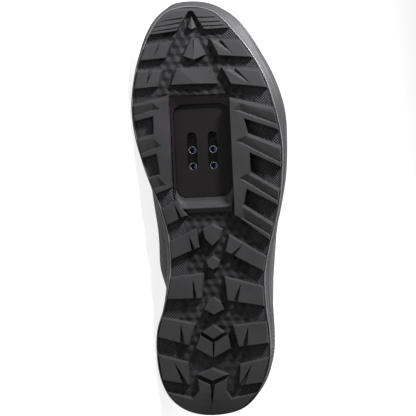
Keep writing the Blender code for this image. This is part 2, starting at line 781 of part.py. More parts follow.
def upper_point(side, turn, climb):
    """A point of the upper's outer face: turn runs from heel to toe, climb from the sole (0) to the top edge (1)."""
    turn, climb = np.broadcast_arrays(np.asarray(turn, float), np.asarray(climb, float))
    shape = turn.shape
    turn, climb = turn.ravel(), climb.ravel()
    foot = feather(side, turn)
    spine = spine_point(foot[:, 0])
    controls = section_controls(side, turn)
    weights = [(1 - climb) ** 3, 3 * climb * (1 - climb) ** 2, 3 * climb**2 * (1 - climb), climb**3]
    reach = sum(w * c[0] for w, c in zip(weights, controls))
    height = sum(w * c[1] for w, c in zip(weights, controls))
    way = (foot - spine) / np.linalg.norm(foot - spine, axis=1)[:, None]
    return np.column_stack([spine + reach[:, None] * way, height]).reshape(*shape, 3)


def upper_normal(side, turn, climb):
    """The outward direction of the upper's face at a point of it."""
    step = 0.004
    turn = np.asarray(turn, float)
    climb = np.asarray(climb, float)
    ahead = np.clip(turn + step, 0, 1)
    behind = np.clip(turn - step, 0, 1)
    along = upper_point(side, ahead, climb) - upper_point(side, behind, climb)
    up = upper_point(side, turn, np.clip(climb + step, 0, 1)) - upper_point(side, turn, np.clip(climb - step, 0, 1))
    normal = np.cross(up, along) * side
    return normal / np.linalg.norm(normal, axis=-1, keepdims=True)


def upper_turns():
    """The turns of the upper's sections, with one exactly where the throat ends."""
    turns = np.linspace(0, 1, UPPER_STATIONS + 1)
    throat = turn_at(WIDEST, np.array([THROAT_END]))[0]
    turns[np.argmin(abs(turns - throat))] = throat + 1e-6
    return turns


def build_upper():
    """The hollow upper: its outer face, given its wall inwards."""
    turns = upper_turns()
    climbs = np.linspace(0, 1, UPPER_ROWS + 1)
    points, faces = [], []
    for side in (-1, 1):
        base = len(points)
        grid = upper_point(side, turns[:, None], climbs[None, :])
        points += list(grid.reshape(-1, 3))
        width = UPPER_ROWS + 1
        for i in range(UPPER_STATIONS):
            for j in range(UPPER_ROWS):
                a = base + i * width + j
                faces.append((a, a + 1, a + width + 1, a + width))
    upper = mesh_object("upper", points, faces, "fabric", merge=0.02 * MM)
    face_out(upper)
    wall = upper.modifiers.new("wall", "SOLIDIFY")
    wall.thickness = UPPER_WALL
    wall.offset = -1
    wall.use_even_offset = False
    wall.use_rim = True
    return baked(upper)


def face_out(made):
    """Turns an open shell's faces outwards, judged by the face furthest to the outer side."""
    work = bmesh.new()
    work.from_mesh(made.data)
    far = max(work.faces, key=lambda f: f.calc_center_median().y)
    if far.normal.y < 0:
        bmesh.ops.reverse_faces(work, faces=work.faces)
    work.to_mesh(made.data)
    work.free()


def slab(name, outer, inner, slot):
    """A closed solid between two grids of points of one shape."""
    rows, columns = outer.shape[:2]
    count = rows * columns
    place = np.arange(count).reshape(rows, columns)
    faces = []
    for i in range(rows - 1):
        for j in range(columns - 1):
            a, b, c, d = place[i, j], place[i, j + 1], place[i + 1, j + 1], place[i + 1, j]
            faces += [(a, b, c, d), (count + a, count + d, count + c, count + b)]
    rim = np.concatenate([place[0], place[1:, -1], place[-1, -2::-1], place[-2:0:-1, 0]])
    faces += [(a, b, count + b, count + a) for a, b in zip(rim, np.roll(rim, -1))]
    return mesh_object(name, np.concatenate([outer.reshape(-1, 3), inner.reshape(-1, 3)]), faces, slot)


def overlay(name, sides, turns, climbs):
    """A piece laid on the upper: sides, turns and climbs are grids of one shape."""
    points = np.where((sides < 0)[..., None], upper_point(-1, turns, climbs), upper_point(1, turns, climbs))
    normals = np.where((sides < 0)[..., None], upper_normal(-1, turns, climbs), upper_normal(1, turns, climbs))
    seam = np.isclose(turns, 0) | np.isclose(turns, 1)
    both = upper_normal(-1, turns, climbs) + upper_normal(1, turns, climbs)
    both /= np.linalg.norm(both, axis=-1, keepdims=True)
    normals = np.where(seam[..., None], both, normals)
    return slab(name, points + (OVERLAY_GAP + OVERLAY) * normals, points + OVERLAY_GAP * normals, "overlay")


def turns_between(first, last):
    """The upper's own turns between two stations, with the two ends, so that an overlay's facets follow the
    upper's."""
    ends = turn_at(WIDEST, np.array([first, last]))
    turns = upper_turns()
    spare = SNAP / UPPER_STATIONS
    return np.array([ends[0], *turns[(turns > ends[0] + spare) & (turns < ends[1] - spare)], ends[1]])


def build_cap(name, turns, ends, rows):
    """A cup round the heel or toe. Its turns run from the tip along one side, and its top edge, as a share of the
    upper's side, falls from the second of the ends at the tip to the first of them where the cup stops."""
    signed = np.concatenate([-turns[:0:-1], turns])
    along = abs(abs(signed) - turns[0]) / abs(turns[-1] - turns[0])
    top = ends[0] + (ends[1] - ends[0]) * (1 - along**2)
    climbs = np.linspace(OVERLAY_START, 1, rows)[None, :] * top[:, None]
    shape = climbs.shape
    sides = np.sign(np.arange(len(signed)) - len(turns) + 0.5)
    return overlay(name, np.broadcast_to(sides[:, None], shape), np.broadcast_to(abs(signed)[:, None], shape), climbs)


def build_toe_cap():
    """The bumper round the toe: highest at the tip, running down along both sides."""
    turns = turns_between(TOE_CAP_END, 1)[::-1]
    return build_cap("toe_cap", turns, TOE_CAP_EDGE, 5)


def build_heel_counter():
    """The stiff cup round the heel, which ends on one of the upper's own turns."""
    turns = upper_turns()
    turns = turns[turns < turn_at(WIDEST, np.array([COUNTER_END]))[0]]
    return build_cap("heel_counter", turns, COUNTER_EDGE, 6)


def build_eyestay(side):
    """The strip that carries the eyelets along one edge of the throat."""
    name = "eyestay_inner" if side < 0 else "eyestay_outer"
    turns = turns_between(*EYESTAY_ENDS)
    lower = 1 - EYESTAY_WIDTH
    rows = np.linspace(0, 1, UPPER_ROWS + 1)
    spare = SNAP / UPPER_ROWS
    climbs = np.array([lower, *rows[(rows > lower + spare) & (rows < EYESTAY_TOP - spare)], EYESTAY_TOP])
    climbs = np.repeat(climbs[None, :], len(turns), 0)
    shape = climbs.shape
    return overlay(name, np.full(shape, side), np.broadcast_to(turns[:, None], shape), climbs)


def eyelet_places():
    """The side, centre, outward direction and turn of each eyelet, from the toe up."""
    places = []
    for station in np.linspace(EYELET_FIRST, EYELET_LAST, EYELET_ROWS):
        turn = turn_at(WIDEST, np.array([station]))
        for side in (-1, 1):
            climb = np.array([1 - EYELET_INSET])
            places.append((side, upper_point(side, turn, climb)[0], upper_normal(side, turn, climb)[0]))
    return places


def axis_matrix(centre, normal):
    """The placing of a piece whose own +Z is the normal."""
    return Matrix.Translation(centre) @ Vector(normal).to_track_quat("Z", "Y").to_matrix().to_4x4()


def turned(name, profile, segments, slot):
    """A ring from a closed profile of (radius, height) points turned about Z."""
    angles = 2 * np.pi * np.arange(segments) / segments
    points = [(r * math.cos(a), r * math.sin(a), z) for a in angles for r, z in profile]
    size = len(profile)
    faces = []
    for i in range(segments):
        for j in range(size):
            a, b = i * size, ((i + 1) % segments) * size
            faces.append((a + j, a + (j + 1) % size, b + (j + 1) % size, b + j))
    return mesh_object(name, points, faces, slot)


def build_eyelets():
    """The eyelets, one for each place, with a flange on the eyestay and a barrel through it."""
    flange_low = OVERLAY_GAP + OVERLAY + GAP
    flange_top = flange_low + EYELET_RIM
    barrel_low = -UPPER_WALL + GAP
    profile = [
        (EYELET_HOLE / 2, barrel_low),
        (EYELET_BARREL / 2, barrel_low),
        (EYELET_BARREL / 2, flange_low),
        (EYELET_FLANGE / 2, flange_low),
        (EYELET_FLANGE / 2 - EYELET_RIM / 2, flange_top),
        (EYELET_HOLE / 2, flange_top),
    ]
    first = None
    for index, (side, centre, normal) in enumerate(eyelet_places()):
        name = f"eyelet_{'inner' if side < 0 else 'outer'}_{index // 2 + 1}"
        if first is None:
            made = first = turned(name, profile, EYELET_SIDES, "steel")
        else:
            made = bpy.data.objects.new(name, first.data)
            bpy.context.scene.collection.objects.link(made)
        made.matrix_world = axis_matrix(centre, normal)


def eyelet_cutters():
    """Round cutters for the eyelet holes."""
    cutters = []
    radius = EYELET_BARREL / 2 + GAP
    count = EYELET_SIDES
    for index, (_, centre, normal) in enumerate(eyelet_places()):
        profile = [(radius * math.cos(a), radius * math.sin(a)) for a in 2 * np.pi * np.arange(count) / count]
        points = [(x, y, z) for z in (-3 * UPPER_WALL, 3 * UPPER_WALL) for x, y in profile]
        faces = [tuple(range(count)), tuple(range(count, 2 * count))]
        faces += [(i, (i + 1) % count, count + (i + 1) % count, count + i) for i in range(count)]
        cutter = mesh_object(f"punch_{index}", points, faces, "steel")
        cutter.data.transform(axis_matrix(centre, normal))
        cutters.append(cutter)
    return cutters


def under_roof(station, reach, depth):
    """The height at a distance from the spine, a depth below the upper's outer face, carried on across the throat
    with a slight crown. Reach is signed: it is positive on the outer side."""
    heights = np.empty_like(reach)
    spine = spine_point(np.array([station * LENGTH]))[0]
    for side in (-1, 1):
        turn = np.full(ROOF_STEPS, turn_at(WIDEST, np.array([station]))[0])
        climb = np.linspace(0.3, 1, ROOF_STEPS)
        face = upper_point(side, turn, climb)
        steep = np.clip(upper_normal(side, turn, climb)[:, 2], 0.35, None)
        away = side * (face[:, 1] - spine[1])
        order = np.argsort(away)
        mine = np.sign(reach + 1e-12) == side
        crown = TONGUE_CROWN * (away[order][0] - abs(reach)).clip(0, None)
        heights[mine] = (np.interp(abs(reach), away[order], (face[:, 2] - depth / steep)[order]) + crown)[mine]
    return heights


def grid_normals(grid):
    """The unit normals of a grid of points, on the side that faces up or forward."""
    normal = np.cross(np.gradient(grid, axis=0), np.gradient(grid, axis=1))
    normal /= np.linalg.norm(normal, axis=-1, keepdims=True)
    return normal * np.sign(normal[:1, :, 2:3])


def build_tongue():
    """The padded tongue: it lies under the throat's edges and stands up behind the top eyelets."""
    stations = np.linspace(TONGUE_SECTIONS["station"][-1], TONGUE_SECTIONS["station"][0], 13)
    across = np.linspace(-1, 1, 11)
    face = []
    for station, half in zip(stations, column(TONGUE_SECTIONS, "half", stations)):
        reach = across * half * WIDTH
        spine = spine_point(np.array([station * LENGTH]))[0]
        top = under_roof(station, reach, UPPER_WALL + TONGUE_PLAY)
        face.append(np.column_stack([np.full_like(reach, spine[0]), spine[1] + reach, top]))
    rim = face[-1]
    middle = rim[len(across) // 2]
    for share, lean, spread in rows_as_tuples(TONGUE_RISE):
        rise = share * TONGUE_TIP
        move = np.array([-math.cos(math.radians(lean)) * rise, 0, math.sin(math.radians(lean)) * rise])
        face.append(middle + (rim - middle) * [1, spread, 1] + move)
    face = np.array(face)
    thick = TONGUE * (1 - TONGUE_THINNING * across**4)[None, :, None]
    return slab("tongue", face, face - thick * grid_normals(face), "fabric")


def build_insole():
    """The insole, inside the upper on the footbed."""
    turns = np.linspace(0, 1, STATIONS + 1)
    rings = []
    for height in (GAP, GAP + INSOLE):
        sides = []
        for side in (-1, 1):
            flat = towards_spine(feather(side, turns), UPPER_WALL + INSOLE_PLAY)
            sides.append(np.column_stack([flat, footbed(flat[:, 0]) + height]))
        rings.append(ring(*sides))
    return loft("insole", rings, "lining")


def ribbon(name, path, ups):
    """A flat lace along a path, with the direction that its broad face looks at each point."""
    along = np.gradient(path, axis=0)
    along /= np.linalg.norm(along, axis=1)[:, None]
    wide = np.cross(along, ups)
    wide /= np.linalg.norm(wide, axis=1)[:, None]
    thick = np.cross(wide, along)
    corners = [(-1, 0), (-0.8, -1), (0.8, -1), (1, 0), (0.8, 1), (-0.8, 1)]
    rings = [path + a * wide * LACE_WIDTH / 2 + b * thick * LACE_THICKNESS / 2 for a, b in corners]
    points = np.stack(rings, 1).reshape(-1, 3)
    count = len(corners)
    faces = [tuple(range(count)), tuple(range(len(points) - count, len(points)))]
    for i in range(len(path) - 1):
        a, b = i * count, (i + 1) * count
        faces += [(a + j, a + (j + 1) % count, b + (j + 1) % count, b + j) for j in range(count)]
    return mesh_object(name, points, faces, "lace")


def lace_run(name, start, end, lift, points=8):
    """A lace from one eyelet over the throat to another. It leaves each flange along the flange, the first one by a
    lift above it, and bends over the tongue between them."""
    clear = OVERLAY_GAP + OVERLAY + GAP + EYELET_RIM + LACE_CLEARANCE + LACE_THICKNESS / 2
    a = start[1] + (clear + lift) * start[2]
    b = end[1] + clear * end[2]
    reach = np.linalg.norm(b - a)
    leave = (b - a) - np.dot(b - a, start[2]) * start[2]
    arrive = (a - b) - np.dot(a - b, end[2]) * end[2]
    near = a + LACE_HANDLE * reach * leave / np.linalg.norm(leave)
    far = b + LACE_HANDLE * reach * arrive / np.linalg.norm(arrive)
    share = np.linspace(0, 1, points)[:, None]
    path = (1 - share) ** 3 * a + 3 * share * (1 - share) ** 2 * near
    path += 3 * share**2 * (1 - share) * far + share**3 * b
    ups = start[2] + share * (end[2] - start[2])
    return ribbon(name, path, ups / np.linalg.norm(ups, axis=1)[:, None])


def build_lace():
    """The lace as it shows: a bar across the lowest eyelets and a crossing up to each further pair, joined where
    they meet."""
    places = eyelet_places()
    pairs = [(places[2 * i], places[2 * i + 1]) for i in range(EYELET_ROWS)]
    lace = lace_run("lace", *pairs[0], 0)
    runs = []
    for low, high in zip(pairs, pairs[1:]):
        runs.append(lace_run("run", low[0], high[1], LACE_LIFT))
        runs.append(lace_run("run", low[1], high[0], LACE_LIFT + LACE_CROSS))
    boolean(lace, runs, "UNION")


def shown():
    """The solids built so far."""
    return [o for o in bpy.data.objects if o.type == "MESH"]


def world_points(made):
    """An object's corner points, standing."""
    return np.array([made.matrix_world @ v.co for v in made.data.vertices])


def weight_and_middle(made):
    """A solid's weight and the middle of its weight."""
    made.data.calc_loop_triangles()
    corners = world_points(made)[np.array([t.vertices for t in made.data.loop_triangles])]
    shares = np.einsum("ij,ij->i", corners[:, 0], np.cross(corners[:, 1], corners[:, 2])) / 6
    heavy = FINISHES[made.data.materials[0].name][3]
    return shares.sum() * heavy, (shares[:, None] * corners.sum(1) / 4).sum(0) / shares.sum()


def resting_plane():
    """The plane that the shoe rests on when it lies on its inner side: the face of its convex hull, turned to the
    inner side, that lies under the middle of its weight. It gives that face's outward normal and one point."""
    solids = shown()
    parts = [weight_and_middle(o) for o in solids]
    middle = sum(w * m for w, m in parts) / sum(w for w, _ in parts)
    work = bmesh.new()
    for point in np.concatenate([world_points(o) for o in solids]):
        work.verts.new(point)
    hull = bmesh.ops.convex_hull(work, input=work.verts)
    best = None
    for face in {g for g in hull["geom"] if isinstance(g, bmesh.types.BMFace)}:
        normal = face.normal.copy()
        centre = face.calc_center_median()
        if normal.dot(centre - Vector(middle)) < 0:
            normal.negate()
        if normal.y > -0.8:
            continue
        reach = normal.dot(centre - Vector(middle))
        foot = Vector(middle) + reach * normal
        flat = [v.co - foot for v in face.verts]
        turns = [normal.dot(flat[i].cross(flat[(i + 1) % len(flat)])) for i in range(len(flat))]
        if all(t > 0 for t in turns) or all(t < 0 for t in turns):
            best = (normal, centre.copy())
    work.free()
    return best


def lay_down(normal, point):
    """The turn and shift that put the resting plane on the floor, with the toe to -X and the tread to -Y."""
    up = -normal
    ahead = Vector((1, 0, 0))
    ahead = (ahead - ahead.dot(up) * up).normalized()
    turn = Matrix((-ahead, -up.cross(ahead), up)).to_4x4()
    lowest = (turn @ point).z + FLOOR_FLAT
    return Matrix.Translation((0, 0, -lowest)) @ turn


def flatten_on_floor(placing):
    """Presses flat what would reach below the floor."""
    reach = 2 * LENGTH
    inverse = placing.inverted()
    for made in shown():
        low = min((placing @ Vector(p)).z for p in world_points(made))
        if low > -0.01 * MM:
            continue
        square = [(-reach, -reach), (reach, -reach), (reach, reach), (-reach, reach)]
        corners = [(x, y, z) for z in (-reach, 0) for x, y in square]
        faces = [(0, 1, 2, 3), (4, 5, 6, 7), (0, 1, 5, 4), (1, 2, 6, 5), (2, 3, 7, 6), (3, 0, 4, 7)]
        floor = mesh_object("floor", [inverse @ Vector(c) for c in corners], faces, "steel")
        boolean(made, [floor], "DIFFERENCE")


def place_all(placing):
    """Hangs every solid on one empty that lays the shoe down with the origin at the bottom middle of its box."""
    solids = shown()
    points = np.array([placing @ Vector(p) for o in solids for p in world_points(o)])
    low, high = points.min(0), points.max(0)
    centre = (low + high) / 2
    shift = Matrix.Translation((-centre[0], -centre[1], -low[2]))
    lying = bpy.data.objects.new("lying", None)
    bpy.context.scene.collection.objects.link(lying)
    lying.matrix_world = shift @ placing
    for made in solids:
        made.parent = lying


def smooth_shading():
    """Shades the round forms smooth and keeps their edges."""
    for made in shown():
        made.data.shade_smooth()
        made.data.set_sharp_from_angle(angle=math.radians(SHARP))


def main():
    for old in list(bpy.data.objects):
        bpy.data.objects.remove(old)
    build_outsole()
    build_midsole()
    build_cleat_plate()
    build_nut_plate()
    upper = build_upper()
    boolean(upper, eyelet_cutters(), "DIFFERENCE")
    build_toe_cap()
    build_heel_counter()
    for side in (-1, 1):
        boolean(build_eyestay(side), eyelet_cutters(), "DIFFERENCE")
    build_insole()
    build_tongue()
    build_eyelets()
    build_lace()
    bpy.context.view_layer.update()
    placing = lay_down(*resting_plane())
    flatten_on_floor(placing)
    smooth_shading()
    place_all(placing)


main()
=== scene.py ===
"""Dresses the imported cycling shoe: lugged tread, cleat pocket, sole side, upper, tongue, lace and lining.

The shoe is drawn standing, as its maker would draw it: x runs forward from the back of the heel, y to the
outer side of the foot and z up from the ground. Placing then turns each finished mesh into the row frame,
where the shoe lies on its inner side. Stations are shares of the shoe's length, sideways places are shares of
its width, and the tables' widths, depths and rises are in millimetres.
"""

import json
import logging
import math
from collections.abc import Callable
from dataclasses import dataclass
from enum import Enum

import bmesh
import bpy
import numpy as np
from mathutils import Matrix, Vector

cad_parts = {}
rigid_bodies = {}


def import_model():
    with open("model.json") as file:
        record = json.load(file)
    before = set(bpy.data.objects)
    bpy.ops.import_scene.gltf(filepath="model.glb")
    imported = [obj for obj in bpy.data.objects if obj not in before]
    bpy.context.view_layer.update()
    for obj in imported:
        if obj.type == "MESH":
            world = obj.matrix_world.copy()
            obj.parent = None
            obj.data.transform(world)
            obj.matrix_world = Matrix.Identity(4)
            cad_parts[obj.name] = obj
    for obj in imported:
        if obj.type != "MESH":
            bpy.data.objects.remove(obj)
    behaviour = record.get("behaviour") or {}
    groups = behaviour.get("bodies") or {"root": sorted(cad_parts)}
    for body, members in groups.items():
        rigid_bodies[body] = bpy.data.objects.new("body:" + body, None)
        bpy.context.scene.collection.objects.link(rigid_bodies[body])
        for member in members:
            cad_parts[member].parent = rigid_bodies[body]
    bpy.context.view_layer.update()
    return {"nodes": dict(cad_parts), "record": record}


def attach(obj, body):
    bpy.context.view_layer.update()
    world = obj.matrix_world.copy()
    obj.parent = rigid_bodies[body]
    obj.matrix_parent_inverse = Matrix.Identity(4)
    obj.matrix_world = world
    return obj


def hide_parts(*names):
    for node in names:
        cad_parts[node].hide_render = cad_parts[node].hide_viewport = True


MM = 0.001
LOG = logging.getLogger("shoe")
Array = np.ndarray
Table = dict[str, Array]
Part = tuple[Array, list]


class Side(Enum):
    """A side of the foot, with its sign along y."""

    INNER = -1
    OUTER = 1


class Opening(Enum):
    """Which end of a slit across a lug is its wide one."""

    HEEL = 1
    TOE = -1


def columns(names: str, rows: list[tuple]) -> Table:
    """Names the columns of a table.

    Args:
        names: the columns' names, with spaces between them.
        rows: one tuple for each row.

    Returns:
        Each column's values by its name.
    """
    return dict(zip(names.split(), np.array(rows, float).T))


TREAD_EDGE = columns(
    "station inner outer",
    [
        (0.000, 0.010, 0.010),
        (0.015, -0.156, 0.207),
        (0.044, -0.243, 0.297),
        (0.083, -0.294, 0.357),
        (0.141, -0.322, 0.396),
        (0.204, -0.319, 0.389),
        (0.267, -0.271, 0.367),
        (0.344, -0.239, 0.361),
        (0.421, -0.249, 0.399),
        (0.499, -0.303, 0.447),
        (0.576, -0.389, 0.469),
        (0.653, -0.450, 0.469),
        (0.731, -0.482, 0.428),
        (0.808, -0.469, 0.361),
        (0.876, -0.421, 0.258),
        (0.924, -0.373, 0.156),
        (0.958, -0.313, 0.070),
        (0.975, -0.252, 0.003),
        (0.984, -0.124, -0.124),
    ],
)
WIDEST = columns(
    "station inner outer",
    [
        (0.000, 0.010, 0.010),
        (0.015, -0.160, 0.211),
        (0.044, -0.246, 0.303),
        (0.083, -0.297, 0.367),
        (0.141, -0.329, 0.408),
        (0.204, -0.325, 0.414),
        (0.267, -0.290, 0.405),
        (0.344, -0.271, 0.396),
        (0.421, -0.281, 0.415),
        (0.499, -0.332, 0.459),
        (0.576, -0.399, 0.491),
        (0.653, -0.466, 0.498),
        (0.731, -0.498, 0.485),
        (0.808, -0.485, 0.421),
        (0.876, -0.447, 0.325),
        (0.924, -0.405, 0.243),
        (0.963, -0.341, 0.150),
        (0.982, -0.284, 0.073),
        (0.994, -0.236, 0.000),
        (1.000, -0.118, -0.118),
    ],
)
FOOTBED = columns(
    "station height",
    [
        (0.00, 1.00),
        (0.16, 0.98),
        (0.30, 0.93),
        (0.45, 0.79),
        (0.60, 0.66),
        (0.70, 0.61),
        (0.80, 0.64),
        (0.90, 0.76),
        (1.00, 0.96),
    ],
)
SPINE = columns(
    "station side",
    [
        (0.00, 0.022),
        (0.13, 0.035),
        (0.35, 0.052),
        (0.50, 0.035),
        (0.65, 0.000),
        (0.80, -0.040),
        (1.00, -0.099),
    ],
)
UPPER_SECTIONS = columns(
    "station top edge swell_inner swell_outer out drop",
    [
        (0.00, 0.900, 0.80, 0.050, 0.050, 0.20, 0.36),
        (0.05, 0.885, 0.84, 0.030, 0.045, 0.30, 0.37),
        (0.12, 0.830, 0.92, 0.005, 0.040, 0.50, 0.40),
        (0.20, 0.775, 0.97, 0.010, 0.045, 0.60, 0.40),
        (0.28, 0.785, 0.94, 0.100, 0.075, 0.60, 0.36),
        (0.35, 0.870, 0.82, 0.260, 0.110, 0.56, 0.28),
        (0.41, 0.975, 0.62, 0.285, 0.115, 0.54, 0.18),
        (0.44, 1.000, 0.54, 0.275, 0.105, 0.54, 0.15),
        (0.52, 0.900, 0.43, 0.210, 0.080, 0.55, 0.12),
        (0.60, 0.785, 0.35, 0.090, 0.050, 0.57, 0.10),
        (0.68, 0.672, 0.26, 0.040, 0.040, 0.60, 0.07),
        (0.725, 0.612, 0.15, 0.030, 0.038, 0.62, 0.04),
        (0.745, 0.592, 0.00, 0.030, 0.038, 0.62, 0.02),
        (0.80, 0.540, 0.00, 0.030, 0.035, 0.64, 0.02),
        (0.86, 0.495, 0.00, 0.028, 0.030, 0.66, 0.02),
        (1.00, 0.495, 0.00, 0.030, 0.030, 0.68, 0.05),
    ],
)
TONGUE_SECTIONS = columns(
    "station half",
    [
        (0.415, 0.148),
        (0.500, 0.205),
        (0.620, 0.185),
        (0.710, 0.135),
        (0.757, 0.080),
    ],
)
TONGUE_RISE = columns(
    "share lean spread",
    [
        (0.28, 44, 1.02),
        (0.56, 48, 1.02),
        (0.82, 52, 0.92),
        (1.00, 54, 0.66),
    ],
)
EDGE_LUGS = columns(
    "side outer_front outer_back inner_front inner_back reach_front reach_back "
    "sipe_front sipe_back opens sipe_width",
    [
        (-1, 0.892, 0.850, 0.901, 0.856, -0.227, -0.268, 0.44, 0.50, -1, 1.9),
        (-1, 0.830, 0.781, 0.832, 0.787, -0.287, -0.316, 0.46, 0.50, -1, 2.8),
        (-1, 0.497, 0.454, 0.519, 0.479, -0.195, -0.128, 0.25, 0.34, 1, 2.6),
        (-1, 0.418, 0.372, 0.450, 0.402, -0.073, -0.051, 0.33, 0.22, 1, 2.6),
        (-1, 0.332, 0.277, 0.343, 0.280, -0.019, -0.035, 0.36, 0.20, 1, 2.6),
        (-1, 0.236, 0.187, 0.221, 0.167, -0.073, -0.115, 0.46, 0.22, 1, 3.2),
        (-1, 0.147, 0.084, 0.128, 0.073, -0.121, -0.112, 0.54, 0.16, 1, 3.2),
        (1, 0.903, 0.857, 0.906, 0.862, 0.003, 0.064, 0.25, 0.52, -1, 2.3),
        (1, 0.833, 0.784, 0.837, 0.793, 0.080, 0.144, 0.29, 0.62, -1, 2.6),
        (1, 0.383, 0.345, 0.436, 0.393, 0.131, 0.108, 0.42, 0.20, 1, 2.6),
        (1, 0.311, 0.262, 0.335, 0.275, 0.102, 0.124, 0.46, 0.22, 1, 3.0),
        (1, 0.227, 0.174, 0.218, 0.164, 0.156, 0.195, 0.48, 0.22, 1, 3.2),
        (1, 0.143, 0.080, 0.124, 0.071, 0.201, 0.198, 0.48, 0.12, 1, 3.2),
    ],
)
COMB_TEETH = columns(
    "side root_front reach_front outer_front outer_back root_back reach_back",
    [
        (-1, 0.768, -0.249, 0.747, 0.703, 0.715, -0.351),
        (-1, 0.679, -0.348, 0.664, 0.615, 0.625, -0.329),
        (-1, 0.583, -0.310, 0.571, 0.529, 0.543, -0.236),
        (1, 0.763, 0.131, 0.740, 0.682, 0.709, 0.236),
        (1, 0.677, 0.255, 0.646, 0.594, 0.627, 0.271),
        (1, 0.583, 0.271, 0.544, 0.503, 0.540, 0.252),
        (1, 0.506, 0.230, 0.461, 0.419, 0.474, 0.195),
    ],
)
SCOOPS = columns(
    "side front front_reach ridge ridge_reach low low_reach outer_front outer_ridge",
    [
        (-1, 0.7487, -0.351, 0.7335, -0.300, 0.7334, -0.335, 0.7370, 0.7110),
        (-1, 0.6640, -0.345, 0.6447, -0.290, 0.6422, -0.330, 0.6544, 0.6194),
        (-1, 0.5735, -0.322, 0.5517, -0.258, 0.5519, -0.290, 0.5614, 0.5348),
        (1, 0.7475, 0.204, 0.7305, 0.163, 0.7300, 0.205, 0.7184, 0.6885),
        (1, 0.6690, 0.240, 0.6580, 0.169, 0.6533, 0.215, 0.6290, 0.5957),
        (1, 0.5790, 0.252, 0.5680, 0.195, 0.5635, 0.235, 0.5288, 0.5034),
        (1, 0.4960, 0.225, 0.4744, 0.201, 0.4697, 0.235, 0.4466, 0.4230),
    ],
)
MIDDLE_LUGS = columns(
    "side front front_corner back_corner back half_front half_back",
    [
        (0.029, 0.461, 0.447, 0.422, 0.404, 0.067, 0.050),
        (0.034, 0.383, 0.372, 0.356, 0.348, 0.047, 0.037),
        (0.040, 0.285, 0.275, 0.254, 0.240, 0.043, 0.066),
    ],
)
COMB_ENDS = {
    Side.INNER: [(0.547, -0.227)],
    Side.OUTER: [(0.479, 0.166), (0.590, 0.150)],
}
DIAMONDS = [
    [(0.219, 0.037), (0.200, 0.115), (0.182, 0.037), (0.200, -0.041)],
    [(0.116, 0.032), (0.099, 0.136), (0.082, 0.032), (0.099, -0.072)],
]
KITE = [(0.964, -0.112), (0.932, -0.077), (0.925, -0.108), (0.932, -0.137)]
SPLIT_BLOCK = [
    (0.195, -0.048),
    (0.176, 0.037),
    (0.196, 0.128),
    (0.161, 0.150),
    (0.137, 0.038),
    (0.161, -0.080),
]
FANG = [(0.907, -0.112), (0.906, -0.067), (0.865, -0.013), (0.851, -0.089), (0.862, -0.163), (0.892, -0.131)]
# Flat facets that meet at an apex on a lug's face; each rim point has its depth in millimetres.
ROOFS = {
    "fang": ((0.851, -0.089), [(0.862, -0.163, 1.0), (0.9046, -0.0989, 0.7), (0.865, -0.013, 1.0)], 1.5),
    "kite": ((0.925, -0.108), [(0.932, -0.137, 1.2), (0.964, -0.112, 0.9), (0.932, -0.077, 1.2)], 1.5),
    "wedge": (
        (0.7945, -0.0734),
        [(0.792, -0.239, 2.1), (0.834, -0.201, 1.6), (0.837, 0.019, 1.6), (0.795, 0.067, 2.1)],
        1.4,
    ),
    "outer_front": ((0.862, 0.163), [(0.9060, -0.015, 0), (0.9060, 0.073, 2.0)], 1.12),
    "outer_back": ((0.7935, 0.262), [(0.8390, 0.062, 0), (0.8385, 0.163, 2.0)], 1.12),
}
FANG_SLIT = [(0.862, -0.092), (0.905, -0.098)]
# The rows of EDGE_LUGS that carry a facet, and which.
RIDGED_LUGS = {7: "outer_front", 8: "outer_back"}
WEDGE = [(0.834, -0.201), (0.837, 0.019), (0.795, 0.067), (0.792, -0.239)]
HEEL_FRONT = [
    (0.043, 0.153),
    (0.059, 0.121),
    (0.094, 0.134),
    (0.074, 0.032),
    (0.091, -0.067),
    (0.059, -0.057),
    (0.043, -0.096),
]
HEEL_SHOULDER = 0.058
TOE_NOTCH = [(0.926, -0.029), (0.971, -0.108), (0.971, -0.128), (0.923, -0.201)]
TOE_SHOULDER = {Side.INNER: 0.913, Side.OUTER: 0.930}
LOUVRES = columns(
    "front_in front_in_reach front_out front_out_reach back_in back_in_reach back_out back_out_reach",
    [
        (0.9565, -0.165, 0.9480, -0.300, 0.9456, -0.170, 0.9335, -0.335),
        (0.9456, -0.170, 0.9335, -0.335, 0.9335, -0.180, 0.9215, -0.362),
        (0.9335, -0.180, 0.9215, -0.362, 0.9230, -0.195, 0.9100, -0.385),
        (0.9577, -0.080, 0.9577, 0.075, 0.9456, -0.065, 0.9480, 0.105),
        (0.9456, -0.065, 0.9480, 0.105, 0.9359, -0.050, 0.9383, 0.130),
        (0.9359, -0.050, 0.9383, 0.130, 0.9270, -0.030, 0.9295, 0.155),
    ],
)
FLARE = columns(
    "level reach",
    [(0.0, 0.0), (0.15, 0.45), (0.30, 0.74), (0.52, 0.94), (0.78, 1.0), (1.0, 1.0)],
)
RAMP = columns(
    "share depth",
    [(0, 6.9), (0.25, 6.3), (0.5, 4.6), (0.66, 2.7), (0.72, 2.5), (0.8, 3.2), (1.0, 4.7)],
)
BLOCK_SIPES = columns(
    "front front_reach back back_reach width",
    [
        (0.190, 0.037, 0.120, 0.038, 2.2),
        (0.066, 0.031, 0.021, 0.027, 2.7),
    ],
)


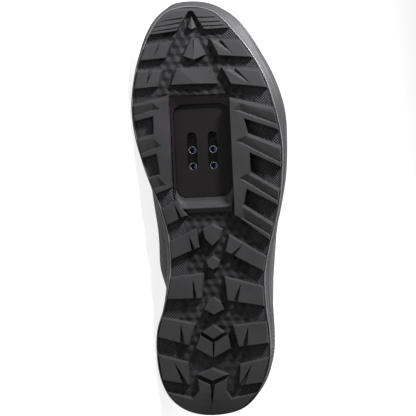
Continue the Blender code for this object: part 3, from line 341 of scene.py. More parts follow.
def smooth(places: Array, values: Array, at: Array) -> Array:
    """A smooth curve through given points: cubic pieces whose slopes come from each point's neighbours.

    Args:
        places: where the points lie, rising.
        values: the curve's values there.
        at: where the curve is wanted.

    Returns:
        The curve's values, held level past both ends.
    """
    slopes = np.gradient(values, places)
    i = np.clip(np.searchsorted(places, at, side="right") - 1, 0, len(places) - 2)
    span = places[i + 1] - places[i]
    t = np.clip((at - places[i]) / span, 0, 1)
    start = (1 + 2 * t) * (1 - t) ** 2 * values[i] + t * (1 - t) ** 2 * span * slopes[i]
    return start + t * t * (3 - 2 * t) * values[i + 1] - t * t * (1 - t) * span * slopes[i + 1]


def step(low: float, high: float, at: Array) -> Array:
    """An even, soft rise from 0 at low to 1 at high: 3t² - 2t³."""
    t = np.clip((at - low) / (high - low), 0, 1)
    return t * t * (3 - 2 * t)


def rows_of(table: Table) -> list[dict[str, float]]:
    """A table's rows, each by its columns' names."""
    return [dict(zip(table, values)) for values in zip(*table.values())]


def unit(vectors: Array) -> Array:
    """Vectors scaled to a length of one."""
    return vectors / np.maximum(np.linalg.norm(vectors, axis=-1, keepdims=True), 1e-12)


def distances(path: Array) -> Array:
    """How far along a path each of its points lies."""
    return np.concatenate([[0], np.cumsum(np.linalg.norm(np.diff(path, axis=0), axis=1))])


def spokes(count: int) -> Array:
    """Even points round the unit circle."""
    angles = 2 * np.pi * np.arange(count) / count
    return np.column_stack([np.cos(angles), np.sin(angles)])


def ring(outer: Array, inner: Array) -> Array:
    """One closed round from the two sides' points, which share their first and last one."""
    return np.concatenate([outer, inner[-2:0:-1]])


@dataclass(frozen=True)
class Last:
    """The shoe's driving sizes and the surfaces that follow from them."""

    length: float = 280 * MM
    width: float = 106 * MM
    top_height: float = 104 * MM
    gap: float = 0.3 * MM
    lug: float = 4.5 * MM
    sheet: float = 2.2 * MM
    edge_margin: float = 0.7 * MM
    toe_spring: float = 14 * MM
    spring_start: float = 0.72
    heel_bevel: float = 3.5 * MM
    bevel_end: float = 0.07
    arch: float = 1.5 * MM
    arch_start: float = 0.28
    arch_span: float = 0.26
    heel_stack: float = 26 * MM
    lip: float = 4 * MM
    belly: float = 0.4
    heel_fan: float = 0.26
    toe_fan: float = 0.72
    throat_end: float = 0.745

    def column(self, table: Table, name: str, station: Array) -> Array:
        """A table's column at any station."""
        return smooth(table["station"], table[name], np.asarray(station, float))

    def turn_at(self, table: Table, station: Array) -> Array:
        """How far round from heel (0) to toe (1) a station lies, so that the round ends stay smooth."""
        heel, toe = table["station"][0], table["station"][-1]
        return np.arccos(np.clip(1 - 2 * (station - heel) / (toe - heel), -1, 1)) / math.pi

    def outline(self, table: Table, side: Side, turn: Array) -> Array:
        """The plan points of an outline at given turns."""
        heel, toe = table["station"][0], table["station"][-1]
        station = heel + (toe - heel) * (1 - np.cos(np.pi * turn)) / 2
        across = smooth(self.turn_at(table, table["station"]), table[side.name.lower()], turn)
        return np.stack([station * self.length, across * self.width], -1)

    def edge(self, side: Side, station: Array) -> Array:
        """The tread's edge beside a station, as a share of the width."""
        turn = self.turn_at(TREAD_EDGE, np.asarray(station, float))
        return smooth(self.turn_at(TREAD_EDGE, TREAD_EDGE["station"]), TREAD_EDGE[side.name.lower()], turn)

    def ground(self, x: Array) -> Array:
        """The tread's lowest faces: level, with a square-law rise at the toe and at the heel's back edge and
        a sine-squared rise under the arch."""
        s = np.asarray(x) / self.length
        spring = self.toe_spring * (np.clip(s - self.spring_start, 0, None) / (1 - self.spring_start)) ** 2
        bevel = self.heel_bevel * (np.clip(self.bevel_end - s, 0, None) / self.bevel_end) ** 2
        under = np.clip((s - self.arch_start) / self.arch_span, 0, 1)
        return spring + bevel + self.arch * np.sin(np.pi * under) ** 2

    def sheet_bottom(self, x: Array) -> Array:
        """The floor of the channels between the lugs."""
        return self.ground(x) + self.lug

    def sheet_top(self, x: Array) -> Array:
        """The rubber sheet's upper face."""
        return self.sheet_bottom(x) + self.sheet

    def footbed(self, x: Array) -> Array:
        """The midsole's upper face."""
        return self.heel_stack * self.column(FOOTBED, "height", np.asarray(x) / self.length)

    def spine_station(self, station: Array) -> Array:
        """The station above which a section closes, held back at both ends so that the sections fan round."""
        ends = np.clip((self.heel_fan - station) / self.heel_fan, 0, 1)
        toes = np.clip((station - self.toe_fan) / (1 - self.toe_fan), 0, 1)
        held = np.where(station < self.heel_fan, self.heel_fan * (1 - (1 - (1 - ends) ** 2) / 2), station)
        ahead = self.toe_fan + (1 - self.toe_fan) / 2 * (1 - (1 - toes) ** 2)
        return np.where(station > self.toe_fan, ahead, held)

    def spine(self, x: Array) -> Array:
        """The plan point of the spine for an outline point at x."""
        station = self.spine_station(np.asarray(x) / self.length)
        return np.stack([station * self.length, self.column(SPINE, "side", station) * self.width], -1)

    def towards_spine(self, flat: Array, distance: Array) -> Array:
        """Plan points moved a distance towards the spine."""
        return flat + unit(self.spine(flat[:, 0]) - flat) * np.reshape(distance, (-1, 1))

    def feather(self, side: Side, turn: Array) -> Array:
        """The line where the upper meets the midsole, in plan."""
        return self.towards_spine(self.outline(WIDEST, side, turn), self.lip)

    def upper(self, side: Side, turn: Array, climb: Array) -> Array:
        """Points of the upper's outer face: each section is a cubic curve with four controls, from the sole
        (0) over the belly and the shoulder to the top edge (1).

        Args:
            side: the side of the foot.
            turn: how far round from heel to toe.
            climb: how far up the section.

        Returns:
            The points, in the shape of the two arguments together.
        """
        turn, climb = np.broadcast_arrays(np.asarray(turn, float), np.asarray(climb, float))
        shape, turn, climb = turn.shape, turn.ravel(), climb.ravel()
        foot = self.feather(side, turn)
        spine = self.spine(foot[:, 0])
        station = self.outline(WIDEST, side, turn)[:, 0] / self.length
        half = np.linalg.norm(foot - spine, axis=1)
        low = self.footbed(foot[:, 0]) + self.gap
        held = np.where(station > self.toe_fan, self.spine_station(station), station)
        top = self.top_height * self.column(UPPER_SECTIONS, "top", held)
        edge = half * np.clip(self.column(UPPER_SECTIONS, "edge", station), 0, 1)
        edge = np.where(station > self.throat_end, 0, edge)
        swell = self.width * self.column(UPPER_SECTIONS, "swell_" + side.name.lower(), station)
        rise = top - low
        shoulder = edge + self.column(UPPER_SECTIONS, "out", station) * (half - edge)
        drop = top - self.column(UPPER_SECTIONS, "drop", station) * rise
        rest = 1 - climb
        weights = np.stack([rest**3, 3 * climb * rest**2, 3 * climb**2 * rest, climb**3])
        reach = (weights * np.stack([half, half + swell, shoulder, edge])).sum(0)
        height = (weights * np.stack([low, low + self.belly * rise, drop, top])).sum(0)
        return np.column_stack([spine + reach[:, None] * unit(foot - spine), height]).reshape(*shape, 3)

    def upper_normal(self, side: Side, turn: Array, climb: Array, reach: float = 0.004) -> Array:
        """The outward direction of the upper's face, from its slopes along and up it."""
        turn, climb = np.asarray(turn, float), np.asarray(climb, float)
        after, before = (np.clip(turn + move, 0, 1) for move in (reach, -reach))
        above, below = (np.clip(climb + move, 0, 1) for move in (reach, -reach))
        along = self.upper(side, after, climb) - self.upper(side, before, climb)
        up = self.upper(side, turn, above) - self.upper(side, turn, below)
        return unit(np.cross(up, along) * side.value)

    def both_normals(self, side: Side, turn: Array, climb: Array) -> Array:
        """Outward directions that agree where the two sides meet at heel and toe."""
        mine = self.upper_normal(side, turn, climb)
        both = unit(self.upper_normal(Side.INNER, turn, climb) + self.upper_normal(Side.OUTER, turn, climb))
        seam = np.isclose(turn, 0) | np.isclose(turn, 1)
        return np.where(seam[..., None], both, mine)


@dataclass
class Placing:
    """Turns standing points into the row frame, worked out from two mounts under the sole."""

    last: Last
    record: dict
    heel_tread: tuple[float, float] = (0.212, 0.30)
    ball_tread: tuple[float, float] = (0.69, 0.33)

    def matrix(self) -> Array:
        """The turn and shift as a 4 by 4 matrix: z is opposite to the tread's axis, and x follows from the
        line between the two mounts."""
        mounts = {m["name"]: m for m in self.record["mounts"]}
        up = -unit(np.array(mounts["heel_tread"]["axis"], float))
        heel = np.array(mounts["heel_tread"]["pos_m"], float)
        ball = np.array(mounts["ball_tread"]["pos_m"], float)
        scale = np.array([self.last.length, self.last.width])
        plan_heel = np.array(self.heel_tread) * scale
        plan_way = np.array(self.ball_tread) * scale - plan_heel
        way = ball - heel
        way = unit(way - way.dot(up) * up)
        aside = np.cross(up, way)
        angle = math.atan2(plan_way[1], plan_way[0])
        ahead = math.cos(angle) * way - math.sin(angle) * aside
        outer = np.cross(up, ahead)
        made = np.eye(4)
        made[:3, :3] = np.column_stack([ahead, outer, up])
        made[:3, 3] = heel - plan_heel[0] * ahead - plan_heel[1] * outer
        return made


def grid_faces(rows: int, cols: int, wrap: bool = False) -> Array:
    """The quads of a grid of points, numbered row by row; wrap joins its last column to the first."""
    i, j = np.meshgrid(np.arange(rows - 1), np.arange(cols if wrap else cols - 1), indexing="ij")
    k = (j + 1) % cols
    return np.stack([i * cols + j, i * cols + k, (i + 1) * cols + k, (i + 1) * cols + j], -1).reshape(-1, 4)


def caps(levels: int, count: int) -> list[list[int]]:
    """The faces that close a tube of rings at its first and last one."""
    return [list(range(count)), list(range((levels - 1) * count, levels * count))]


def join(parts: list[Part]) -> Part:
    """Several parts as one list of points and one of faces."""
    starts = np.cumsum([0] + [len(points) for points, _ in parts])
    faces = [tuple(i + int(start) for i in face) for start, (_, some) in zip(starts, parts) for face in some]
    return np.concatenate([points for points, _ in parts]), faces


def slab(outer: Array, inner: Array) -> Part:
    """A closed solid between two grids of points of one shape."""
    rows, cols = outer.shape[:2]
    place = np.arange(rows * cols).reshape(rows, cols)
    rim = np.concatenate([place[0], place[1:, -1], place[-1, -2::-1], place[-2:0:-1, 0]])
    after = np.roll(rim, -1)
    quads = grid_faces(rows, cols)
    walls = np.stack([rim, rim + place.size, after + place.size, after], 1)
    faces = np.concatenate([quads, quads[:, ::-1] + place.size, walls])
    return np.concatenate([outer.reshape(-1, 3), inner.reshape(-1, 3)]), faces.tolist()


def loft(rings: Array) -> Part:
    """A closed solid from rings of an even number of points; strips from side to side close its ends."""
    levels, count = rings.shape[:2]
    half = count // 2
    i = np.arange(1, half - 1)
    strips = np.stack([i, i + 1, count - i - 1, count - i], 1)
    faces = grid_faces(levels, count, wrap=True).tolist()
    for base in (0, (levels - 1) * count):
        faces += (strips + base).tolist()
        faces += [(base, base + 1, base + count - 1), (base + half - 1, base + half, base + half + 1)]
    return rings.reshape(-1, 3), faces


def carried(profile: Array, path: Array, wide: Array, thick: Array, closed: bool = False) -> Part:
    """A profile carried along a path: each of its points goes out by its first number times wide and up by
    its second times thick.

    Args:
        profile: the profile's points, or one such list for each point of the path.
        path: the points of the path.
        wide: the direction of the profile's first axis at each point.
        thick: the direction of its second axis.
        closed: whether the path ends where it starts.

    Returns:
        A closed solid.
    """
    profile = np.broadcast_to(profile, (len(path), *np.shape(profile)[-2:]))
    rings = path[:, None] + profile[..., :1] * wide[:, None] + profile[..., 1:] * thick[:, None]
    count = rings.shape[1]
    if closed:
        rings = np.concatenate([rings, rings[:1]])
    faces = grid_faces(len(rings), count, wrap=True).tolist()
    if not closed:
        faces += caps(len(rings), count)
    return rings.reshape(-1, 3), faces


def turned(profile: Array, segments: int, centre: Array, axis: Array) -> Part:
    """A closed profile of (radius, height) points turned about an axis through a centre."""
    first = unit(np.cross(axis, [0.0, 0.0, 1.0] if abs(axis[2]) < 0.9 else [1.0, 0.0, 0.0]))
    ways = spokes(segments) @ np.stack([first, np.cross(axis, first)])
    rings = centre + profile[None, :, :1] * ways[:, None] + profile[None, :, 1:] * axis
    rings = np.concatenate([rings, rings[:1]])
    return rings.reshape(-1, 3), grid_faces(segments + 1, len(profile), wrap=True).tolist()


def prism(outline: Array, low: float, high: float) -> Part:
    """An upright block from a plan outline."""
    count = len(outline)
    points = np.concatenate([np.column_stack([outline, np.full(count, z)]) for z in (low, high)])
    return points, caps(2, count) + grid_faces(2, count, wrap=True).tolist()


class Wiring:
    """Short forms for building a node tree."""

    def __init__(self, tree: bpy.types.NodeTree) -> None:
        """Keeps the tree that the nodes go into."""
        self.tree = tree

    def node(self, kind: str, inputs: dict | None = None, **settings: object) -> bpy.types.Node:
        """Adds a node, sets its properties and sets or links its inputs.

        Args:
            kind: the node's type.
            inputs: a value or a socket for each named or numbered input.
            settings: the node's own properties.

        Returns:
            The new node.
        """
        made = self.tree.nodes.new(kind)
        for name, value in settings.items():
            setattr(made, name, value)
        for name, value in (inputs or {}).items():
            if isinstance(value, bpy.types.NodeSocket):
                self.tree.links.new(value, made.inputs[name])
            else:
                made.inputs[name].default_value = value
        return made

    def maths(self, operation: str, *values: object) -> bpy.types.NodeSocket:
        """The outcome of a Math node."""
        return self.node("ShaderNodeMath", dict(enumerate(values)), operation=operation).outputs[0]

    def attribute(self, name: str, output: str = "Vector") -> bpy.types.NodeSocket:
        """An attribute of the piece's points."""
        return self.node("ShaderNodeAttribute", attribute_name=name).outputs[output]

    def group(self, tree: bpy.types.NodeTree, inputs: dict) -> bpy.types.Node:
        """Places a shader node group with its own values."""
        return self.node("ShaderNodeGroup", inputs, node_tree=tree)

    def blend(self, factor: object, low: tuple, high: tuple) -> bpy.types.NodeSocket:
        """A colour between two."""
        made = self.node("ShaderNodeMix", {0: factor, 6: (*low, 1), 7: (*high, 1)}, data_type="RGBA")
        return made.outputs[2]


def effect(
    name: str, inputs: dict[str, float], outputs: list[str]
) -> tuple[bpy.types.NodeTree, Wiring, dict, bpy.types.Node]:
    """Starts a shader node group.

    Args:
        name: the group's name.
        inputs: the default of each number that goes in besides Vector.
        outputs: the numbers that come out.

    Returns:
        The group, its wiring, its input sockets by name and its output node.
    """
    tree = bpy.data.node_groups.new(name, "ShaderNodeTree")
    tree.interface.new_socket("Vector", in_out="INPUT", socket_type="NodeSocketVector")
    for label, value in inputs.items():
        socket = tree.interface.new_socket(label, in_out="INPUT", socket_type="NodeSocketFloat")
        socket.default_value = value
    for label in outputs:
        tree.interface.new_socket(label, in_out="OUTPUT", socket_type="NodeSocketFloat")
    wiring = Wiring(tree)
    entry = wiring.node("NodeGroupInput")
    return tree, wiring, {s.name: s for s in entry.outputs if s.name}, wiring.node("NodeGroupOutput")


def speckle_effect() -> bpy.types.NodeTree:
    """Uneven tone of a moulded or woven surface: broad clouds and fine grains from two noises."""
    tree, w, ins, out = effect("speckle", {"Grain": 900.0, "Cloud": 40.0}, ["Tone", "Height"])
    fine = w.node("ShaderNodeTexNoise", {"Vector": ins["Vector"], "Scale": ins["Grain"], "Detail": 3.0})
    broad = w.node("ShaderNodeTexNoise", {"Vector": ins["Vector"], "Scale": ins["Cloud"], "Detail": 4.0})
    clouds, grains = w.maths("MULTIPLY", broad.outputs[0], 1.6), w.maths("MULTIPLY", fine.outputs[0], 0.7)
    tone = w.maths("ADD", clouds, grains)
    w.tree.links.new(w.maths("SUBTRACT", tone, 0.65), out.inputs["Tone"])
    w.tree.links.new(fine.outputs[0], out.inputs["Height"])
    return tree


def knurl_effect() -> bpy.types.NodeTree:
    """Small pyramids on a diamond grid: the sum of two triangle waves that cross."""
    tree, w, ins, out = effect("knurl", {"Pitch": 0.001}, ["Height"])
    parts = w.node("ShaderNodeSeparateXYZ", {0: ins["Vector"]})
    waves = []
    for operation in ("ADD", "SUBTRACT"):
        run = w.maths("DIVIDE", w.maths(operation, parts.outputs[0], parts.outputs[1]), ins["Pitch"])
        waves.append(w.maths("PINGPONG", run, 0.5))
    w.tree.links.new(w.maths("ADD", *waves), out.inputs["Height"])
    return tree


def weave_effect() -> bpy.types.NodeTree:
    """A plain weave: threads along and across lie on top by turns, each round like a half sine."""
    tree, w, ins, out = effect("weave", {"Pitch": 0.001}, ["Height"])
    parts = w.node("ShaderNodeSeparateXYZ", {0: ins["Vector"]})
    runs = [w.maths("DIVIDE", parts.outputs[i], ins["Pitch"]) for i in (0, 1)]
    turns = w.maths("MODULO", w.maths("ADD", w.maths("FLOOR", runs[0]), w.maths("FLOOR", runs[1])), 2.0)
    over = w.maths("ABSOLUTE", turns)
    ridges = [w.maths("ABSOLUTE", w.maths("SINE", w.maths("MULTIPLY", run, math.pi))) for run in runs]
    along = w.maths("MULTIPLY", ridges[0], over)
    across = w.maths("MULTIPLY", ridges[1], w.maths("SUBTRACT", 1.0, over))
    w.tree.links.new(w.maths("ADD", along, across), out.inputs["Height"])
    return tree


class Pattern(Enum):
    """What lies over a finish's own grain."""

    PLAIN = "speckle"
    KNURL = "knurl"
    WEAVE = "weave"


@dataclass(frozen=True)
class Finish:
    """One material: its two tones, its gloss and its relief."""

    name: str
    slot: str
    dark: tuple[float, float, float]
    pale: tuple[float, float, float]
    gloss: tuple[float, float] = (0.55, 0.75)
    grain: float = 1400.0
    cloud: float = 45.0
    relief: float = 0.05 * MM
    pattern: Pattern = Pattern.PLAIN
    pitch: float = 1.1 * MM
    pattern_relief: float = 0.3 * MM
    mask: str = ""
    # How strongly the pattern's raised tips are painted lighter and its hollows darker: painted highlight and painted
    # shade.
    tip: float = 0.0
    metallic: float = 0.0
    specular: float = 0.4
    sheen: float = 0.0

    def material(self, effects: dict[str, bpy.types.NodeTree]) -> bpy.types.Material:
        """Builds the material on a piece's standing coordinates, or on its cloth coordinates for a weave."""
        made = bpy.data.materials.new(self.name)
        made.use_nodes = True
        made.diffuse_color = (*self.pale, 1)
        w = Wiring(made.node_tree)
        shader = made.node_tree.nodes["Principled BSDF"]
        standing = w.attribute("standing")
        plain = {"Metallic": self.metallic, "Specular IOR Level": self.specular, "Sheen Weight": self.sheen}
        for name, value in plain.items():
            shader.inputs[name].default_value = value
        speckle = w.group(effects["speckle"], {"Vector": standing, "Grain": self.grain, "Cloud": self.cloud})
        tone = speckle.outputs["Tone"]
        bump = {"Distance": self.relief, "Height": speckle.outputs["Height"]}
        normal = w.node("ShaderNodeBump", bump).outputs[0]
        if self.pattern is not Pattern.PLAIN:
            place = w.attribute("cloth") if self.pattern is Pattern.WEAVE else standing
            over = w.group(effects[self.pattern.value], {"Vector": place, "Pitch": self.pitch})
            height = over.outputs["Height"]
            if self.mask:
                height = w.maths("MULTIPLY", height, w.attribute(self.mask, "Fac"))
            bump = {"Distance": self.pattern_relief, "Height": height, "Normal": normal}
            normal = w.node("ShaderNodeBump", bump).outputs[0]
            # Painted light: the pattern's raised tips get a paler tone as a painted highlight, and its hollows a darker
            # one as painted shade.
            if self.tip:
                painted_tip_highlight = w.maths("MULTIPLY", w.maths("POWER", height, 2.0), 1.5 * self.tip)
                tone = w.maths("ADD", w.maths("MULTIPLY", tone, 1 - self.tip), painted_tip_highlight)
        tone = w.node("ShaderNodeClamp", {0: tone}).outputs[0]
        w.tree.links.new(w.blend(tone, self.dark, self.pale), shader.inputs["Base Color"])
        rough = w.node("ShaderNodeMapRange", {0: tone, 3: self.gloss[1], 4: self.gloss[0]}).outputs[0]
        w.tree.links.new(rough, shader.inputs["Roughness"])
        w.tree.links.new(normal, shader.inputs["Normal"])
        return made


def woven(name: str, slot: str, tones: tuple, gloss: tuple, weave: tuple[float, float], sheen: float) -> Finish:
    """A woven finish.

    Args:
        name: the material's name.
        slot: the material slot.
        tones: its dark and its pale colour.
        gloss: its roughness where it is pale and where it is dark.
        weave: the threads' pitch and relief in millimetres.
        sheen: how much its fibres catch light.

    Returns:
        The finish.
    """
    pitch, relief = weave[0] * MM, weave[1] * MM
    words = {"pattern": Pattern.WEAVE, "pitch": pitch, "pattern_relief": relief, "sheen": sheen}
    return Finish(name, slot, *tones, gloss, **words)


FINISHES = {
    "rubber": Finish(
        "lug_rubber", "rubber", (0.0115, 0.011, 0.0118), (0.020, 0.0193, 0.0205), (0.55, 0.72), specular=0.12
    ),
    # The bead along the tread's edge is a paler copy of the rubber: a painted highlight along the edge.
    "rim": Finish(
        "rim_painted_highlight", "rubber", (0.058, 0.056, 0.060), (0.085, 0.082, 0.088), (0.4, 0.55), specular=0.3
    ),
    # The channel floors' rubber is a darker copy of the lug rubber: its dark tone is painted shade in the channels, and
    # its pale tone, which the knurl tips take, is a painted highlight.
    "sheet": Finish(
        "channel_painted_shade_and_highlight",
        "rubber",
        (0.002, 0.0018, 0.0021),
        (0.042, 0.040, 0.0432),
        (0.5, 0.75),
        pattern=Pattern.KNURL,
        pitch=1.9 * MM,
        pattern_relief=0.9 * MM,
        mask="knurl",
        tip=0.65,
        specular=0.08,
    ),
    "midsole": Finish(
        "moulded_side", "midsole", (0.021, 0.0204, 0.0218), (0.032, 0.031, 0.0333), (0.45, 0.62), specular=0.15
    ),
    "plate": Finish(
        "pocket_floor",
        "plate",
        (0.0042, 0.0036, 0.0039),
        (0.0068, 0.006, 0.0064),
        (0.4, 0.5),
        2200.0,
        specular=0.06,
    ),
    "pocket": Finish(
        "pocket_wall",
        "plate",
        (0.0042, 0.0031, 0.0038),
        (0.0066, 0.005, 0.0061),
        (0.5, 0.65),
        2200.0,
        specular=0.06,
    ),
    "steel": Finish("nickel", "steel", (0.42, 0.43, 0.45), (0.62, 0.63, 0.66), (0.2, 0.35), 3000.0, metallic=1.0),
    "lock": Finish("thread_lock", "steel", (0.004, 0.012, 0.14), (0.008, 0.03, 0.26), (0.3, 0.45), 3000.0),
    # The nut plate is a dark metal darkened to near-black: painted shade in the slots, where it shows.
    "nut_plate_painted_shade": Finish(
        "nut_plate_painted_shade",
        "steel",
        (0.0008, 0.0008, 0.001),
        (0.002, 0.002, 0.0024),
        (0.3, 0.45),
        3000.0,
        metallic=0.3,
        specular=0.1,
    ),
    "cloth": woven(
        "upper_cloth",
        "fabric",
        ((0.013, 0.0126, 0.0137), (0.025, 0.0243, 0.0265)),
        (0.7, 0.9),
        (1.3, 0.35),
        0.06,
    ),
    "padding": woven(
        "padding_cloth",
        "fabric",
        ((0.014, 0.0135, 0.015), (0.026, 0.025, 0.028)),
        (0.8, 0.95),
        (0.9, 0.25),
        0.35,
    ),
    "lining": woven(
        "lining_mesh",
        "lining",
        ((0.012, 0.0115, 0.0125), (0.022, 0.021, 0.023)),
        (0.85, 0.97),
        (1.6, 0.4),
        0.3,
    ),
    "lace": woven(
        "lace_braid", "lace", ((0.020, 0.0195, 0.021), (0.045, 0.044, 0.047)), (0.75, 0.9), (0.8, 0.3), 0.3
    ),
    "overlay": Finish(
        "overlay_film",
        "overlay",
        (0.016, 0.0155, 0.0168),
        (0.027, 0.0262, 0.0285),
        (0.42, 0.6),
        1800.0,
        relief=0.09 * MM,
    ),
    "thread": Finish("seam_thread", "fabric", (0.035, 0.034, 0.037), (0.06, 0.058, 0.063), (0.6, 0.8), 4000.0),
}


def points_of(mesh: bpy.types.Mesh) -> Array:
    """A mesh's points."""
    points = np.zeros(len(mesh.vertices) * 3)
    mesh.vertices.foreach_get("co", points)
    return points.reshape(-1, 3)


@dataclass
class Workshop:
    """Makes meshes from parts and puts them in the row frame."""

    last: Last
    placing: Array
    materials: dict[str, bpy.types.Material]

    def shape(self, name: str, part: Part, merge: float = 0.0, closed: bool = True) -> bpy.types.Object:
        """A standing mesh object.

        Args:
            name: the piece's name.
            part: its points and faces.
            merge: points closer than this are joined.
            closed: whether it is a closed solid, whose faces are then turned outwards.

        Returns:
            The new object.
        """
        mesh = bpy.data.meshes.new(name)
        mesh.from_pydata(part[0].tolist(), [], part[1])
        work = bmesh.new()
        work.from_mesh(mesh)
        if merge:
            bmesh.ops.remove_doubles(work, verts=work.verts, dist=merge)
            bmesh.ops.dissolve_degenerate(work, edges=work.edges, dist=merge / 2)
        many = [f for f in work.faces if len(f.verts) > 4]
        if many:
            bmesh.ops.triangulate(work, faces=many, ngon_method="EAR_CLIP")
        if closed:
            bmesh.ops.recalc_face_normals(work, faces=work.faces)
        work.to_mesh(mesh)
        work.free()
        made = bpy.data.objects.new(name, mesh)
        bpy.context.scene.collection.objects.link(made)
        return made

    def bake(self, made: bpy.types.Object) -> bpy.types.Object:
        """Replaces an object's mesh by what its modifiers make of it."""
        graph = bpy.context.evaluated_depsgraph_get()
        mesh = bpy.data.meshes.new_from_object(made.evaluated_get(graph))
        made.modifiers.clear()
        made.data = mesh
        return made

    def cut(self, made: bpy.types.Object, tools: list[Part]) -> bpy.types.Object:
        """Takes closed shapes out of an object."""
        cutter = self.shape("cutter", join([self.outward(tool) for tool in tools]), closed=False)
        modifier = made.modifiers.new("cut", "BOOLEAN")
        modifier.object = cutter
        modifier.solver = "EXACT"
        modifier.use_self = len(tools) > 1
        self.bake(made)
        bpy.data.objects.remove(cutter)
        return made

    def outward(self, part: Part) -> Part:
        """A closed part with its faces turned outwards and its large faces in triangles."""
        return self.taken(self.shape("probe", part))

    def taken(self, made: bpy.types.Object) -> Part:
        """An object's points and faces; the object itself goes."""
        part = points_of(made.data), [tuple(p.vertices) for p in made.data.polygons]
        bpy.data.objects.remove(made)
        return part

    def dress(
        self,
        made: bpy.types.Object,
        finish: str,
        replaced: tuple[str, ...] = (),
        sharp: float = 38.0,
        cloth: Array | Callable[[Array], Array] | None = None,
        masks: dict[str, Callable[[Array], Array]] | None = None,
    ) -> bpy.types.Object:
        """Finishes a standing piece: attributes for its materials, shading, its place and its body.

        Args:
            made: the standing piece.
            finish: the finish's name.
            replaced: the nodes that it stands for.
            sharp: edges sharper than this many degrees stay crisp.
            cloth: the cloth coordinates of each point, or how to work them out.
            masks: how to work out each mask that the finish reads.

        Returns:
            The piece, in the row frame.
        """
        mesh = made.data
        points = points_of(mesh)
        self.attribute(mesh, "standing", points)
        if cloth is not None:
            self.attribute(mesh, "cloth", cloth(points) if callable(cloth) else cloth)
        for name, rule in (masks or {}).items():
            stored = mesh.attributes.new(name, "FLOAT", "POINT")
            stored.data.foreach_set("value", rule(points).astype(np.float32))
        mesh.shade_smooth()
        mesh.set_sharp_from_angle(angle=math.radians(sharp))
        points = points @ self.placing[:3, :3].T + self.placing[:3, 3]
        points[:, 2] = np.maximum(points[:, 2], 0)
        mesh.vertices.foreach_set("co", points.ravel())
        mesh.update()
        if not mesh.materials:
            mesh.materials.append(self.materials[finish])
        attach(made, "root")
        if replaced:
            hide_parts(*replaced)
        LOG.info("%s: %d faces", made.name, len(mesh.polygons))
        return made

    def attribute(self, mesh: bpy.types.Mesh, name: str, values: Array) -> None:
        """Stores a vector for each point."""
        stored = mesh.attributes.new(name, "FLOAT_VECTOR", "POINT")
        stored.data.foreach_set("vector", np.asarray(values, np.float32).ravel())

    def put(self, name: str, part: Part, finish: str, **words: object) -> bpy.types.Object:
        """Makes and dresses a closed piece in one go."""
        return self.dress(self.shape(name, part), finish, **words)


@dataclass
class Pocket:
    """The cleat pocket's frame: its middle, its turn and its outlines."""

    last: Last
    length: float = 75 * MM
    width: float = 40.5 * MM
    turn: float = math.radians(2.6)
    station: float = 0.635
    side: float = -0.038
    plate_length: float = 63 * MM
    plate_width: float = 37.5 * MM
    plate_corner: float = 6.5 * MM
    plate_depth: float = 8.6 * MM
    plate_thickness: float = 2 * MM
    slot_spacing: float = 14 * MM
    nut_row_spacing: float = 11 * MM
    nut_row_offset: float = -4.8 * MM
    nut_hole: float = 5 * MM

    def axes(self) -> tuple[Array, Array, Array]:
        """The middle and the two plan directions: forward and to the outer side."""
        middle = np.array([self.station * self.last.length, self.side * self.last.width])
        cos, sin = math.cos(self.turn), math.sin(self.turn)
        return middle, np.array([cos, -sin]), np.array([sin, cos])

    def place(self, forward: Array, aside: Array) -> Array:
        """Plan points from distances in the pocket's own frame."""
        middle, ahead, across = self.axes()
        return middle + np.asarray(forward)[..., None] * ahead + np.asarray(aside)[..., None] * across

    def window(self, play: float = 0.0) -> Array:
        """The outline of the midsole's window, which frames the plate, less some play."""
        return self.rounded(self.plate_length - play, self.plate_width - play, self.plate_corner)

    def rounded(self, length: float, width: float, corner: float) -> Array:
        """A rounded rectangle: four quarter arcs round the corners' centres."""
        angles = np.linspace(0, math.pi / 2, 13) + np.arange(4)[:, None] * math.pi / 2
        signs = np.array([(1, 1), (-1, 1), (-1, -1), (1, -1)])
        forward = signs[:, :1] * (length / 2 - corner) + corner * np.cos(angles)
        aside = signs[:, 1:] * (width / 2 - corner) + corner * np.sin(angles)
        return self.place(forward.ravel(), aside.ravel())


